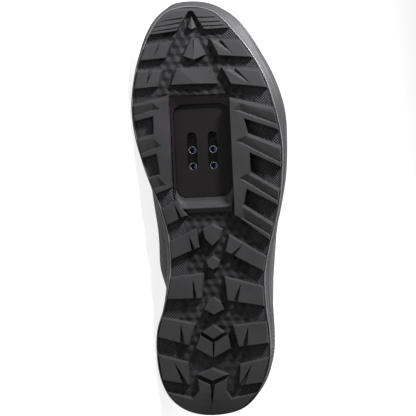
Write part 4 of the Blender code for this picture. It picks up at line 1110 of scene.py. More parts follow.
@dataclass
class Tread:
    """The rubber outsole: a sheet with a relief of its own and the lugs that stand on it.

    Lugs are made level, with z as the depth behind the ground, cut there, and then bent to the sole's curve.
    """

    last: Last
    shop: Workshop
    pocket: Pocket
    steep: float = 0.3 * MM
    side_lean: float = 0.6 * MM
    toe_lean: tuple[float, float] = (0.9 * MM, 2.2 * MM)
    lean_change: tuple[float, float] = (0.40, 0.54)
    soft: float = 0.3 * MM
    sunk: float = 0.9 * MM
    sipe_depth: float = 3.4 * MM
    sipe_setback: float = 0.14
    fang_slit: float = 0.8 * MM
    scoop_depth: float = 1.7 * MM
    scoop_wall: float = 0.0036
    overhang: float = 0.03
    louvre_depth: float = 1.15 * MM
    lid: float = 3 * MM
    start: float = -0.02 * MM
    slice: float = 5 * MM
    rows: int = 520
    cols: int = 128
    pocket_shares: tuple[float, float] = (0.243, 0.662)
    cube: float = 3.7 * MM
    cube_rise: float = 0.75 * MM
    pit: float = 1.1 * MM
    rim: float = 0.45 * MM
    rim_rise: float = 0.35 * MM
    bevel: float = 1.6
    tip_spare: float = 0.004
    reach_of_lines: float = 45 * MM
    ramp_run: float = 4.2 * MM
    ramp_crest: float = 0.62
    ramp_back: tuple[float, float] = (7.0 * MM, 5.6 * MM)

    def plan(self, corners: Array) -> Array:
        """Corners given as shares, in metres."""
        return np.array(corners, float) * [self.last.length, self.last.width]

    def edge(self, side: Side, station: float) -> float:
        """Where a lug's end reaches the tread's edge, less the margin."""
        return float(self.last.edge(side, station)) - side.value * self.last.edge_margin / self.last.width

    def lean(self, outline: Array, inward: Array) -> Array:
        """How far each wall leans in: much where it faces the toe, little where it faces the heel."""
        station = outline[:, 0] / self.last.length
        most = self.toe_lean[0] + (self.toe_lean[1] - self.toe_lean[0]) * step(*self.lean_change, station)
        facing = np.clip(-inward[:, 0], -1, 1)
        ahead, behind = np.clip(facing, 0, 1) ** 2, np.clip(-facing, 0, 1) ** 2
        return ahead * most + behind * self.steep + (1 - ahead - behind) * self.side_lean

    def moved_in(self, outline: Array, share: float, extra: float) -> Array:
        """An outline whose edges move in by a share of their lean and by an extra: each new corner is where
        the two moved edges beside it cross."""
        after = np.roll(outline, -1, 0)
        way = unit(after - outline)
        area = np.sum(outline[:, 0] * after[:, 1] - after[:, 0] * outline[:, 1])
        inward = np.column_stack([-way[:, 1], way[:, 0]]) * np.sign(area)
        far = share * self.lean(outline, inward) + extra
        before, near = np.roll(inward, 1, 0), np.roll(far, 1)
        cross = before[:, 0] * inward[:, 1] - before[:, 1] * inward[:, 0]
        straight = abs(cross) < 0.2
        safe = np.where(straight, 1, cross)
        corner = np.column_stack(
            [near * inward[:, 1] - far * before[:, 1], before[:, 0] * far - inward[:, 0] * near]
        )
        level = unit(before + inward) * ((near + far) / 2)[:, None]
        return outline + np.where(straight[:, None], level, corner / safe[:, None])

    def block(self, corners: list[tuple[float, float]]) -> Part:
        """A lug on a plan outline: rings from inside the sheet up to a softened edge and its flat face."""
        outline = self.plan(corners)
        rings = []
        for depth in (self.last.lug + self.sunk, self.last.lug, self.soft, self.soft * 0.3, 0.0):
            share = float(np.clip(1 - depth / self.last.lug, 0, 1))
            near = max(self.soft - depth, 0)
            round_in = self.soft - math.sqrt(self.soft**2 - near**2)
            ring = self.moved_in(outline, share, round_in)
            rings.append(np.column_stack([ring, np.full(len(ring), depth)]))
        count = len(outline)
        faces = grid_faces(len(rings), count, wrap=True).tolist()
        return np.concatenate(rings), faces + caps(len(rings), count)

    def plug(self, points: Array, faces: list[tuple]) -> Part:
        """A shape to be cut away: facets at their depths, closed by a lid beyond the ground."""
        plan = points[:, :2]
        turned_round = []
        for face in faces:
            corners = plan[list(face)]
            after = np.roll(corners, -1, 0)
            area = np.sum(corners[:, 0] * after[:, 1] - after[:, 0] * corners[:, 1])
            turned_round.append(face if area > 0 else face[::-1])
        lid = points.copy()
        lid[:, 2] = -self.lid
        count = len(points)
        edges = {(a, b) for f in turned_round for a, b in zip(f, f[1:] + f[:1])}
        walls = [(a, b, b + count, a + count) for a, b in sorted(edges) if (b, a) not in edges]
        lids = [tuple(i + count for i in reversed(f)) for f in turned_round]
        return np.concatenate([points, lid]), turned_round + lids + walls

    def fan(self, name: str) -> Part:
        """Flat facets that meet at a point on the lug's face and fall away to rim points, as ROOFS gives."""
        apex, rim, spread = ROOFS[name]
        centre = np.array([*self.plan([apex])[0], 0.0])
        around = np.column_stack([self.plan([r[:2] for r in rim]), [r[2] * MM for r in rim]])
        around = centre + spread * (around - centre)
        points = np.concatenate([[centre], around])
        points[:, 2] = np.where(points[:, 2] <= 0, self.start, points[:, 2])
        return self.plug(points, [(0, i, i + 1) for i in range(1, len(rim))])

    def slit(self, tip: Array, mouth: Array, width: float) -> Part:
        """A slit that starts as a point and is widest at its mouth, where it runs out of the lug."""
        along = unit(mouth - tip)
        across = np.array([-along[1], along[0]]) * width / 2
        out = mouth + along * self.toe_lean[1]
        flat = np.array([tip, out + across * 1.2, out - across * 1.2])
        return self.plug(np.column_stack([flat, np.full(3, self.sipe_depth)]), [(0, 1, 2)])

    def edge_lug(self, row: dict[str, float]) -> tuple[Part, list[Part]]:
        """A lug that runs in from the tread's edge, and its slit."""
        side = Side(int(row["side"]))
        corners = [
            (row["inner_front"], row["reach_front"]),
            (row["outer_front"], self.edge(side, row["outer_front"])),
            (row["outer_back"], self.edge(side, row["outer_back"])),
            (row["inner_back"], row["reach_back"]),
        ]
        flat = self.plan(corners)
        front = flat[0] + row["sipe_front"] * (flat[1] - flat[0])
        back = flat[3] + row["sipe_back"] * (flat[2] - flat[3])
        tip, mouth = (front, back) if Opening(int(row["opens"])) is Opening.HEEL else (back, front)
        tip = tip + self.sipe_setback * (mouth - tip)
        return self.block(corners), [self.slit(tip, mouth, row["sipe_width"] * MM)]

    def scoop(self, row: dict[str, float]) -> Part:
        """The hollow in a comb's tooth: it deepens from the front edge and ends at a low wall."""
        side = Side(int(row["side"]))
        depth = self.scoop_depth
        out_front = self.edge(side, row["outer_front"]) + side.value * self.overhang
        out_back = self.edge(side, row["outer_ridge"]) + side.value * self.overhang
        flat = self.plan(
            [
                (row["front"], row["front_reach"]),
                (row["outer_front"], out_front),
                (row["outer_ridge"] + self.scoop_wall, out_back),
                (row["low"], row["low_reach"]),
                (row["ridge"], row["ridge_reach"]),
                (row["outer_ridge"], out_back),
            ]
        )
        points = np.column_stack([flat, [self.start, self.start, depth, depth, self.start, self.start]])
        return self.plug(points, [(0, 1, 2), (0, 2, 3), (0, 3, 4), (3, 2, 5), (3, 5, 4)])

    def comb(self, side: Side) -> tuple[Part, list[Part]]:
        """The rail beside the pocket with its teeth, their hollows and the pocket's own edge."""
        corners = []
        for row in rows_of(COMB_TEETH):
            if row["side"] == side.value:
                corners += [
                    (row["root_front"], row["reach_front"]),
                    (row["outer_front"], self.edge(side, row["outer_front"])),
                    (row["outer_back"], self.edge(side, row["outer_back"])),
                    (row["root_back"], row["reach_back"]),
                ]
        cuts = [self.scoop(row) for row in rows_of(SCOOPS) if row["side"] == side.value]
        signs = np.array([(1, -1), (-1, -1), (-1, 1), (1, 1)])
        corner = self.pocket.place(*(signs * [self.pocket.length / 2, self.pocket.width / 2]).T)
        hole = self.plug(np.column_stack([corner, np.full(4, 2 * self.last.lug)]), [(0, 1, 2, 3)])
        return self.block(corners + COMB_ENDS[side]), cuts + [hole]

    def end_lug(self, front: list[tuple], shoulders: tuple[float, float], toe: bool) -> Part:
        """The lug round the heel or toe: its own inner corners, then the tread's edge round the tip."""
        heel_end, toe_end = TREAD_EDGE["station"][0], TREAD_EDGE["station"][-1]
        tip = toe_end if toe else heel_end
        margin = self.last.edge_margin / self.last.length * (-1 if toe else 1)
        falling = np.linspace(1, 0, 9)[:-1] ** self.bevel
        inner, outer = (
            np.clip(tip + (shoulder - tip) * falling, self.tip_spare, toe_end - self.tip_spare)
            for shoulder in shoulders
        )
        run = [(s, self.edge(Side.INNER, s)) for s in inner]
        run.append((tip + margin, TREAD_EDGE["inner"][-1 if toe else 0]))
        run += [(s, self.edge(Side.OUTER, s)) for s in outer[::-1]]
        return self.block(front + run)

    def middle_lug(self, row: dict[str, float]) -> Part:
        """A six-sided block on the middle line."""
        side = row["side"]
        return self.block(
            [
                (row["front"], side),
                (row["front_corner"], side + row["half_front"]),
                (row["back_corner"], side + row["half_back"]),
                (row["back"], side),
                (row["back_corner"], side - row["half_back"]),
                (row["front_corner"], side - row["half_front"]),
            ]
        )

    def louvres(self) -> list[Part]:
        """Three steps on each wing of the toe lug: each falls off at its front and rises to its back."""
        ends = ("front_in", "front_out", "back_out", "back_in")
        cuts = []
        for row in rows_of(LOUVRES):
            flat = self.plan([(row[end], row[f"{end}_reach"]) for end in ends])
            depths = [self.louvre_depth, 0.5 * self.louvre_depth, self.start, self.start]
            cuts.append(self.plug(np.column_stack([flat, depths]), [(0, 1, 2), (0, 2, 3)]))
        return cuts

    def lugs(self) -> list[tuple[Part, list[Part]]]:
        """Every lug with what is cut out of it."""
        sipes = []
        for row in rows_of(BLOCK_SIPES):
            ends = self.plan([(row["back"], row["back_reach"]), (row["front"], row["front_reach"])])
            sipes.append(self.slit(*ends, row["width"] * MM))
        made = [self.edge_lug(row) for row in rows_of(EDGE_LUGS)]
        for lug, roof in RIDGED_LUGS.items():
            made[lug][1].append(self.fan(roof))
        made += [self.comb(side) for side in Side]
        made += [(self.middle_lug(row), []) for row in rows_of(MIDDLE_LUGS)]
        made += [(self.block(corners), []) for corners in DIAMONDS]
        made.append((self.block(SPLIT_BLOCK), [sipes[0]]))
        made.append((self.end_lug(HEEL_FRONT, (HEEL_SHOULDER, HEEL_SHOULDER), False), [sipes[1]]))
        toe = self.end_lug(TOE_NOTCH, (TOE_SHOULDER[Side.INNER], TOE_SHOULDER[Side.OUTER]), True)
        made.append((toe, self.louvres()))
        split = self.slit(*self.plan(FANG_SLIT), self.fang_slit)
        made.append((self.block(FANG), [self.fan("fang"), split]))
        made.append((self.block(KITE), [self.fan("kite")]))
        made.append((self.block(WEDGE), [self.fan("wedge")]))
        return made

    def build_lugs(self) -> None:
        """Cuts every lug, joins them, slices them across and bends them to the sole's curve."""
        parts = []
        for number, (block, cuts) in enumerate(self.lugs()):
            lug = self.shop.shape(f"lug_{number}", block)
            for cut in cuts:
                self.shop.cut(lug, [cut])
            parts.append(self.shop.taken(lug))
        lugs = self.shop.shape("lug_blocks", join(parts), closed=False)
        work = bmesh.new()
        work.from_mesh(lugs.data)
        for x in np.arange(self.slice, self.last.length, self.slice):
            whole = [*work.verts, *work.edges, *work.faces]
            bmesh.ops.bisect_plane(work, geom=whole, dist=1e-7, plane_co=(x, 0, 0), plane_no=(1, 0, 0))
        work.to_mesh(lugs.data)
        work.free()
        points = points_of(lugs.data)
        points[:, 2] += self.last.ground(points[:, 0])
        lugs.data.vertices.foreach_set("co", points.ravel())
        self.shop.dress(lugs, "rubber", sharp=5)

    def cubes(self, flat: Array) -> Array:
        """Tumbling blocks: the points of a triangular grid stand 0, 1 and 2 high by turns, and flat facets
        join them, so that each three diamonds look like a cube."""
        j = flat[..., 1] / (self.cube * math.sqrt(3) / 2)
        i = flat[..., 0] / self.cube - j / 2
        fi, fj = np.floor(i), np.floor(j)
        ri, rj = i - fi, j - fj
        own, right, above = (np.mod(fi - fj + k, 3) for k in (0, 1, -1))
        low = own * (1 - ri - rj) + right * ri + above * rj
        high = own * (ri + rj - 1) + right * (1 - rj) + above * (1 - ri)
        return np.where(ri + rj > 1, high, low)

    def share_across(self, flat: Array) -> Array:
        """How far out a plan point lies: 0 on the middle of the tread and 1 on its edge."""
        station = np.clip(flat[..., 0] / self.last.length, 0.002, 0.982)
        inner, outer = (self.last.edge(side, station) * self.last.width for side in Side)
        return abs(flat[..., 1] - (inner + outer) / 2) / np.maximum((outer - inner) / 2, 1e-6)

    def relief(self, flat: Array) -> Array:
        """How deep the channel floors lie behind their mean: cubes along the middle, pits beside the rails
        and a raised rim."""
        across = self.share_across(flat)
        station = flat[..., 0] / self.last.length
        middle = 1 - step(0.60, 0.68, across)
        rails = step(0.44, 0.47, station) * (1 - step(0.75, 0.77, station)) * (1 - step(0.72, 0.76, across))
        smooth_heel = 0.4 + 0.6 * step(0.10, 0.2, station)
        return (
            (self.cubes(flat) - 1) * self.cube_rise * middle * smooth_heel
            + self.pit * rails
            - self.rim_rise * step(0.955, 0.975, across)
        )

    def knurled(self, points: Array) -> Array:
        """Where the sheet has its knurl: along both sides, short of the rim."""
        across = self.share_across(points[:, :2])
        return step(0.6, 0.7, across) * (1 - step(0.94, 0.96, across))

    def build_sheet(self) -> None:
        """The rubber sheet: a fine grid whose lines are drawn to the pocket's straight edges, closed above by
        a coarse face, with the pocket left out."""
        last, pocket = self.last, self.pocket
        cos, sin = math.cos(pocket.turn), math.sin(pocket.turn)
        (centre_x, centre_y), half = pocket.axes()[0], pocket.length / 2 * cos
        turns = np.linspace(0, 1, self.rows)
        ends = last.turn_at(TREAD_EDGE, np.array([centre_x - half, centre_x + half]) / last.length)
        rows = [int(np.argmin(abs(turns - end))) for end in ends]
        turns[rows] = ends
        shares = np.linspace(0, 1, self.cols)
        cols = [int(np.argmin(abs(shares - share))) for share in self.pocket_shares]
        shares[cols] = self.pocket_shares
        inner, outer = (last.outline(TREAD_EDGE, side, turns) for side in Side)
        x = inner[:, 0]
        near = 1 - step(0.0, self.reach_of_lines, abs(x - centre_x) - half)
        knots_x, knots_y = [np.zeros_like(x)], [inner[:, 1]]
        for sign, share in zip((-1, 1), self.pocket_shares):
            line = centre_y - (x - centre_x) * sin / cos + sign * pocket.width / 2 / cos
            regular = inner[:, 1] + share * (outer[:, 1] - inner[:, 1])
            shift = near * sign * pocket.width / 2 * sin
            knots_x.append(shift)
            knots_y.append(near * (line - shift * sin / cos) + (1 - near) * regular)
        knots_x.append(np.zeros_like(x))
        knots_y.append(outer[:, 1])
        knots = np.array([0, *self.pocket_shares, 1])
        span = np.clip(np.searchsorted(knots, shares, side="right") - 1, 0, 2)
        part = (shares - knots[span]) / (knots[span + 1] - knots[span])
        part = part[:, None]
        shift, line = (k[span] * (1 - part) + k[span + 1] * part for k in (np.stack(knots_x), np.stack(knots_y)))
        flat = np.stack([x[:, None] + shift.T, line.T], -1)
        low = np.dstack([flat, last.sheet_bottom(flat[..., 0]) + self.relief(flat)])
        few = [0, *cols, self.cols - 1]
        high = np.dstack([flat[:, few], last.sheet_top(flat[:, few, 0])])
        place = np.arange(low[..., 0].size).reshape(self.rows, self.cols)
        top = place.size + np.arange(self.rows * 4).reshape(self.rows, 4)
        quads = grid_faces(self.rows, self.cols)
        row, col = np.divmod(quads[:, 0], self.cols)
        hole = (row >= rows[0]) & (row < rows[1]) & (col >= cols[0]) & (col < cols[1])
        faces = quads[~hole].tolist()
        i = np.arange(self.rows - 1)
        inside = i[(i >= rows[0]) & (i < rows[1])]
        outside = i[(i < rows[0]) | (i >= rows[1])]
        strips = [(top[:, k], top[:, k + 1], some) for k, some in ((0, i), (1, outside), (2, i))]
        walls = ((0, 0, i), (1, cols[0], inside), (2, cols[1], inside), (3, self.cols - 1, i))
        strips += [(place[:, c], top[:, k], some) for k, c, some in walls]
        for one, other, some in strips:
            faces += np.stack([one[some], one[some + 1], other[some + 1], other[some]], 1).tolist()
        for r in rows:
            faces.append([*place[r, cols[0] : cols[1] + 1].tolist(), int(top[r, 2]), int(top[r, 1])])
        points = np.concatenate([low.reshape(-1, 3), high.reshape(-1, 3)])
        sheet = self.shop.shape("outsole_sheet", (points, faces), merge=0.01 * MM)
        # The channel floors take the darker rubber as painted shade, with a painted highlight on the knurl tips.
        self.shop.dress(sheet, "sheet", ("outsole",), sharp=30, masks={"knurl": self.knurled})

    def build_rim(self) -> None:
        """The thin bead along the tread's edge: an oval carried round the outline."""
        turns = np.linspace(0, 1, 241)
        inner, outer = (self.last.outline(TREAD_EDGE, side, turns) for side in Side)
        flat = ring(outer, inner)
        path = np.column_stack([flat, self.last.sheet_bottom(flat[:, 0]) + 0.1 * MM])
        along = unit(np.roll(path, -1, 0) - np.roll(path, 1, 0))
        up = np.broadcast_to([0.0, 0.0, 1.0], path.shape)
        oval = self.rim * spokes(8) * [1, 1.3]
        # The bead takes the paler rim finish, a painted highlight.
        self.shop.put("tread_rim", carried(oval, path, unit(np.cross(along, up)), up, closed=True), "rim")

    def build_ramp(self) -> None:
        """The slope from the pocket's floor up to the channel behind it: from the window's round end it
        rises hollow to a crest and falls off behind."""
        pocket, last = self.pocket, self.last
        across = np.linspace(-1, 1, 61)
        along = np.linspace(0, 1, 25)
        corner = pocket.plate_corner
        reach = np.clip(abs(across) * pocket.width / 2 - (pocket.plate_width / 2 - corner), 0, corner)
        near = -(pocket.plate_length / 2 - corner) - np.sqrt(corner**2 - reach**2)
        far = np.full_like(across, -pocket.length / 2 - self.ramp_run)
        forward = near + along[:, None] * (far - near)
        aside = across * pocket.width / 2 * (1 - 0.1 * along[:, None])
        flat = pocket.place(forward, np.broadcast_to(aside, forward.shape))
        depths = smooth(RAMP["share"], RAMP["depth"] * MM, along)
        behind = np.where(along < self.ramp_crest, *self.ramp_back)
        face, back = (np.dstack([flat, last.ground(flat[..., 0]) + deep[:, None]]) for deep in (depths, behind))
        self.shop.put("pocket_ramp", slab(face, back), "rubber", sharp=50)


@dataclass
class Cleat:
    """What lies in the pocket: the floor with its slots, the steel plate and the threads in its holes."""

    last: Last
    shop: Workshop
    pocket: Pocket
    nodes: dict[str, bpy.types.Object]
    bore: float = 2.0 * MM
    proud: float = 0.15 * MM
    thread: float = 0.18 * MM
    collar: tuple[float, float] = (0.5 * MM, 2 * MM)
    patch: tuple[float, float] = (-0.9, 0.7)
    patch_reach: tuple[float, ...] = (-1.1 * MM, -0.5 * MM, 0.1 * MM)
    patch_heights: tuple[float, float] = (0.5 * MM, 1.3 * MM)
    wall: float = 0.1 * MM
    play: float = 0.2 * MM
    rim_play: float = 0.3 * MM
    rim_corner: float = 1.2 * MM
    ramp_depth: float = 7.4 * MM

    def repaint(self, node: str, finish: str) -> None:
        """Gives a node of the frame a finish; its standing coordinates are worked back from its place."""
        mesh = self.nodes[node].data
        back = np.linalg.inv(self.shop.placing)
        self.shop.attribute(mesh, "standing", points_of(mesh) @ back[:3, :3].T + back[:3, 3])
        mesh.materials.clear()
        mesh.materials.append(self.shop.materials[finish])

    def build_liner(self) -> None:
        """The slanted wall round the pocket's floor: straight lines from the window's rounded edge out to the
        pocket's rim, in two skins that a wall's thickness parts."""
        pocket, last = self.pocket, self.last
        rim = pocket.rounded(pocket.length - self.rim_play, pocket.width - self.rim_play, self.rim_corner)
        edge = pocket.window(self.play)
        middle, ahead, _ = pocket.axes()
        short = np.maximum(-pocket.plate_length / 2 + self.play / 2 - (rim - middle) @ ahead, 0)
        rim = rim + short[:, None] * ahead
        low, high = last.sheet_bottom(edge[:, 0]) + 0.5 * MM, last.sheet_top(edge[:, 0]) - 0.25 * MM
        rear = (edge - middle) @ ahead < pocket.plate_corner - pocket.plate_length / 2
        high = np.where(rear, last.ground(edge[:, 0]) + self.ramp_depth, high)
        low = np.where(rear, high, low)
        floor = np.full(len(edge), pocket.plate_depth - 0.12 * MM)
        inside = [np.column_stack([edge, floor]), np.column_stack([edge, high]), np.column_stack([rim, low])]
        behind = np.array([0.0, 0.0, self.wall])
        outside = [np.column_stack([edge + 0.03 * (rim - edge), floor]), inside[1] + behind, inside[2] + behind]
        rings = inside + outside[::-1]
        count = len(rim)
        faces = grid_faces(len(rings) + 1, count, wrap=True) % (len(rings) * count)
        self.shop.put("pocket_liner", (np.concatenate(rings), faces.tolist()), "pocket", sharp=30)

    def build(self) -> None:
        """Paints the two plates and adds a threaded collar and a patch of thread lock in each hole."""
        self.repaint("cleat_plate", "plate")
        # The nut plate takes a near-black finish, painted shade in the slots.
        self.repaint("nut_plate", "nut_plate_painted_shade")
        self.build_liner()
        pocket = self.pocket
        low = pocket.plate_depth + pocket.plate_thickness + self.last.gap
        up = np.array([0.0, 0.0, 1.0])
        outer, bore, proud = pocket.nut_hole / 2 - 0.05 * MM, self.bore, self.proud
        inlet, end = self.collar
        collar = [(outer, end), (outer, -proud), (outer - 0.1 * MM, -proud), (bore + 0.1 * MM, inlet)]
        turns = np.repeat(np.arange(0, 1.4, 0.2), 2) * MM
        thread = np.column_stack([bore + self.thread * (np.arange(len(turns)) % 2), turns + 0.6 * MM])
        profile = np.concatenate([collar, thread])
        for row in (-1, 1):
            for side in (-1, 1):
                forward = pocket.nut_row_offset + row * pocket.nut_row_spacing / 2
                place = pocket.place(forward, side * pocket.slot_spacing / 2)
                centre = np.array([*place, low])
                name = f"{'front' if row > 0 else 'back'}_{'outer' if side > 0 else 'inner'}"
                self.shop.put(f"nut_{name}", turned(profile, 28, centre, up), "steel", sharp=30)
                angles = np.linspace(*self.patch, 8)
                arc = np.stack([np.sin(angles), np.cos(angles)], -1)
                flat = place + (bore + np.array(self.patch_reach))[:, None, None] * arc
                grids = [np.dstack([flat, np.full((3, 8), low + height)]) for height in self.patch_heights]
                self.shop.put(f"thread_lock_{name}", slab(*grids), "lock")


@dataclass
class Midsole:
    """The moulded wedge: a side wall with grooves all round and a window above the pocket."""

    last: Last
    shop: Workshop
    pocket: Pocket
    turns: int = 150
    levels: int = 30
    groove_levels: tuple[float, ...] = (0.16, 0.46, 0.62)
    groove_depths: tuple[float, ...] = (0.5 * MM, 0.9 * MM, 0.35 * MM)
    groove_width: float = 0.035
    shoulder: float = 0.40
    shoulder_start: float = 0.80

    def build(self) -> None:
        """Each ring lies between the tread's edge and the widest line; grooves push it in towards the spine by
        a bell curve round their level, and the top rounds in to the upper."""
        last = self.last
        turns = np.linspace(0, 1, self.turns + 1)
        rings = []
        for level in np.linspace(0, 1, self.levels):
            push = self.shoulder * last.lip * step(self.shoulder_start, 1.0, level) ** 2
            for at, depth in zip(self.groove_levels, self.groove_depths):
                push = push + depth * math.exp(-(((level - at) / self.groove_width) ** 2))
            sides = []
            for side in (Side.OUTER, Side.INNER):
                low, wide = last.outline(TREAD_EDGE, side, turns), last.outline(WIDEST, side, turns)
                flat = low + smooth(FLARE["level"], FLARE["reach"], np.array([level])) * (wide - low)
                flat = last.towards_spine(flat, push)
                bottom = last.sheet_top(flat[:, 0]) + last.gap
                sides.append(np.column_stack([flat, bottom + level * (last.footbed(flat[:, 0]) - bottom)]))
            rings.append(ring(*sides))
        wedge = self.shop.shape("midsole_wedge", loft(np.array(rings)))
        self.shop.cut(wedge, [prism(self.pocket.window(), 0.0, 2 * last.heel_stack)])
        self.shop.dress(wedge, "midsole", ("midsole",), sharp=40)


CREASES = columns(
    "side station climb station_to climb_to rise wide",
    [
        (0, 0.775, 0.99, 0.745, 0.30, -0.7, 4.0),
        (0, 0.760, 0.99, 0.722, 0.34, 0.6, 4.0),
        (-1, 0.728, 0.80, 0.690, 0.22, -0.8, 4.5),
        (-1, 0.705, 0.78, 0.668, 0.26, 0.5, 4.0),
        (-1, 0.660, 0.62, 0.625, 0.20, -0.5, 4.5),
        (1, 0.730, 0.76, 0.700, 0.20, -0.8, 4.5),
        (1, 0.700, 0.74, 0.680, 0.24, 0.5, 4.0),
        (1, 0.655, 0.60, 0.640, 0.18, -0.6, 4.5),
        (-1, 0.400, 0.62, 0.330, 0.40, -0.6, 5.0),
        (-1, 0.370, 0.78, 0.300, 0.62, 0.5, 5.0),
        (1, 0.410, 0.66, 0.330, 0.36, -0.8, 5.0),
        (1, 0.380, 0.82, 0.310, 0.58, 0.6, 5.0),
        (1, 0.290, 0.55, 0.230, 0.30, -0.5, 6.0),
        (1, 0.560, 0.45, 0.480, 0.30, -0.5, 6.0),
    ],
)


@dataclass
class Upper:
    """The hollow upper with the pieces laid on it, its seams and its collar."""

    last: Last
    shop: Workshop
    wall: float = 2.2 * MM
    overlay: float = 1.2 * MM
    overlay_gap: float = 0.4 * MM
    overlay_start: float = 0.08
    cap_end: float = 0.80
    cap_edge: tuple[float, float] = (0.13, 0.50)
    counter_end: float = 0.24
    counter_edge: tuple[float, float] = (0.12, 0.58)
    stay_ends: tuple[float, float] = (0.43, 0.738)
    stay_width: float = 0.29
    stay_top: float = 0.995
    eyelet_rows: int = 5
    eyelet_stations: tuple[float, float] = (0.695, 0.462)
    eyelet_inset: float = 0.135
    hole: float = 4 * MM
    barrel: float = 5.2 * MM
    flange: float = 8.4 * MM
    eyelet_rim: float = 0.9 * MM
    side_height: float = 80 * MM
    turns: int = 150
    climbs: int = 38
    stitch: float = 2.2 * MM
    stitch_step: float = 3.2 * MM
    roll_reach: float = 16 * MM
    roll_thick: float = 4.2 * MM

    def relief(self, side: Side, turn: Array, climb: Array) -> Array:
        """How far creases push the face out or in: each is a bell curve across a line between two points."""
        station = self.last.outline(WIDEST, side, turn)[..., 0]
        place = np.stack([station, climb * self.side_height], -1)
        push = np.zeros(place.shape[:-1])
        for row in rows_of(CREASES):
            if row["side"] == -side.value:
                continue
            start = np.array([row["station"] * self.last.length, row["climb"] * self.side_height])
            way = np.array([row["station_to"] * self.last.length, row["climb_to"] * self.side_height]) - start
            share = np.clip((place - start) @ way / (way @ way), 0, 1)
            away = np.linalg.norm(place - start - share[..., None] * way, axis=-1)
            fade = 0.35 + 0.65 * np.sin(np.pi * share)
            push += row["rise"] * MM * fade * np.exp(-((away / (row["wide"] * MM)) ** 2))
        return push

    def face(self, side: Side, turn: Array, climb: Array, out: Array = 0.0) -> Array:
        """Points of the upper's outer face with its creases, moved out by a distance."""
        turn, climb = np.broadcast_arrays(np.asarray(turn, float), np.asarray(climb, float))
        out = np.asarray(out) + self.relief(side, turn, climb)
        return self.last.upper(side, turn, climb) + out[..., None] * self.last.both_normals(side, turn, climb)

    def cloth(self, points: Array) -> Array:
        """Cloth coordinates: along the shoe, and up each side from the sole over the top."""
        spine = self.last.spine(points[:, 0])[:, 1]
        return np.column_stack([points[:, 0], points[:, 2] - abs(points[:, 1] - spine), np.zeros(len(points))])

    def eyelets(self) -> list[tuple[Side, Array, Array, Array]]:
        """Each eyelet's side, centre, outward direction and way to the throat's edge, from the toe up."""
        places = []
        for station in np.linspace(*self.eyelet_stations, self.eyelet_rows):
            turn = self.last.turn_at(WIDEST, np.array([station]))
            for side in Side:
                climb = np.array([1 - self.eyelet_inset])
                centre = self.last.upper(side, turn, climb)[0]
                normal = self.last.upper_normal(side, turn, climb)[0]
                way = self.last.upper(side, turn, np.array([1.0]))[0] - centre
                places.append((side, centre, normal, unit(way - way.dot(normal) * normal)))
        return places

    def punches(self) -> list[Part]:
        """Round cutters for the eyelet holes."""
        radius, reach = self.barrel / 2 + self.last.gap, 3 * self.wall
        angles = 2 * np.pi * np.arange(20) / 20
        made = []
        for _, centre, normal, way in self.eyelets():
            spokes = np.cos(angles)[:, None] * way + np.sin(angles)[:, None] * np.cross(normal, way)
            rings = [centre + radius * spokes + z * normal for z in (-reach, reach)]
            faces = [list(range(20)), list(range(20, 40))] + grid_faces(2, 20, wrap=True).tolist()
            made.append((np.concatenate(rings), faces))
        return made

    def build_shell(self) -> None:
        """The shell: both sides' faces joined at heel, toe and along the vamp, then given its wall."""
        turns = np.linspace(0, 1, self.turns + 1)
        throat = self.last.turn_at(WIDEST, np.array([self.last.throat_end]))[0]
        turns[np.argmin(abs(turns - throat))] = throat + 1e-6
        climbs = np.linspace(0, 1, self.climbs + 1)
        quads = grid_faces(len(turns), len(climbs)).tolist()
        parts = [(self.face(side, turns[:, None], climbs[None, :]).reshape(-1, 3), quads) for side in Side]
        shell = self.shop.shape("upper_shell", join(parts), merge=0.03 * MM)
        far = max(shell.data.polygons, key=lambda f: f.center.y)
        if far.normal.y < 0:
            shell.data.flip_normals()
        for finish in ("cloth", "lining"):
            shell.data.materials.append(self.shop.materials[finish])
        wall = shell.modifiers.new("wall", "SOLIDIFY")
        wall.thickness = self.wall
        wall.offset = -1
        wall.use_even_offset = False
        wall.material_offset = 1
        self.shop.bake(shell)
        self.shop.cut(shell, self.punches())
        self.shop.dress(shell, "cloth", ("upper",), sharp=50, cloth=self.cloth)

    def spread(self, count: int, border: float) -> Array:
        """Even shares from 0 to 1 with a few more close to both ends, for a thinned edge."""
        ends = border * np.array([0.0, 0.3, 0.65, 1.0])
        return np.concatenate([ends, np.linspace(border, 1 - border, count)[1:-1], 1 - ends[::-1]])

    def thinned(self, rows: Array, cols: Array, border: tuple[float, float]) -> Array:
        """An overlay's thickness: full inside and thin along its edges, like a pressed film."""
        edges = [np.minimum(s, 1 - s) / b for s, b in zip((rows, cols), border)]
        soft = [0.3 + 0.7 * np.sqrt(1 - (1 - np.clip(e, 0, 1)) ** 2) for e in edges]
        return self.overlay * soft[0][:, None] * soft[1][None, :]

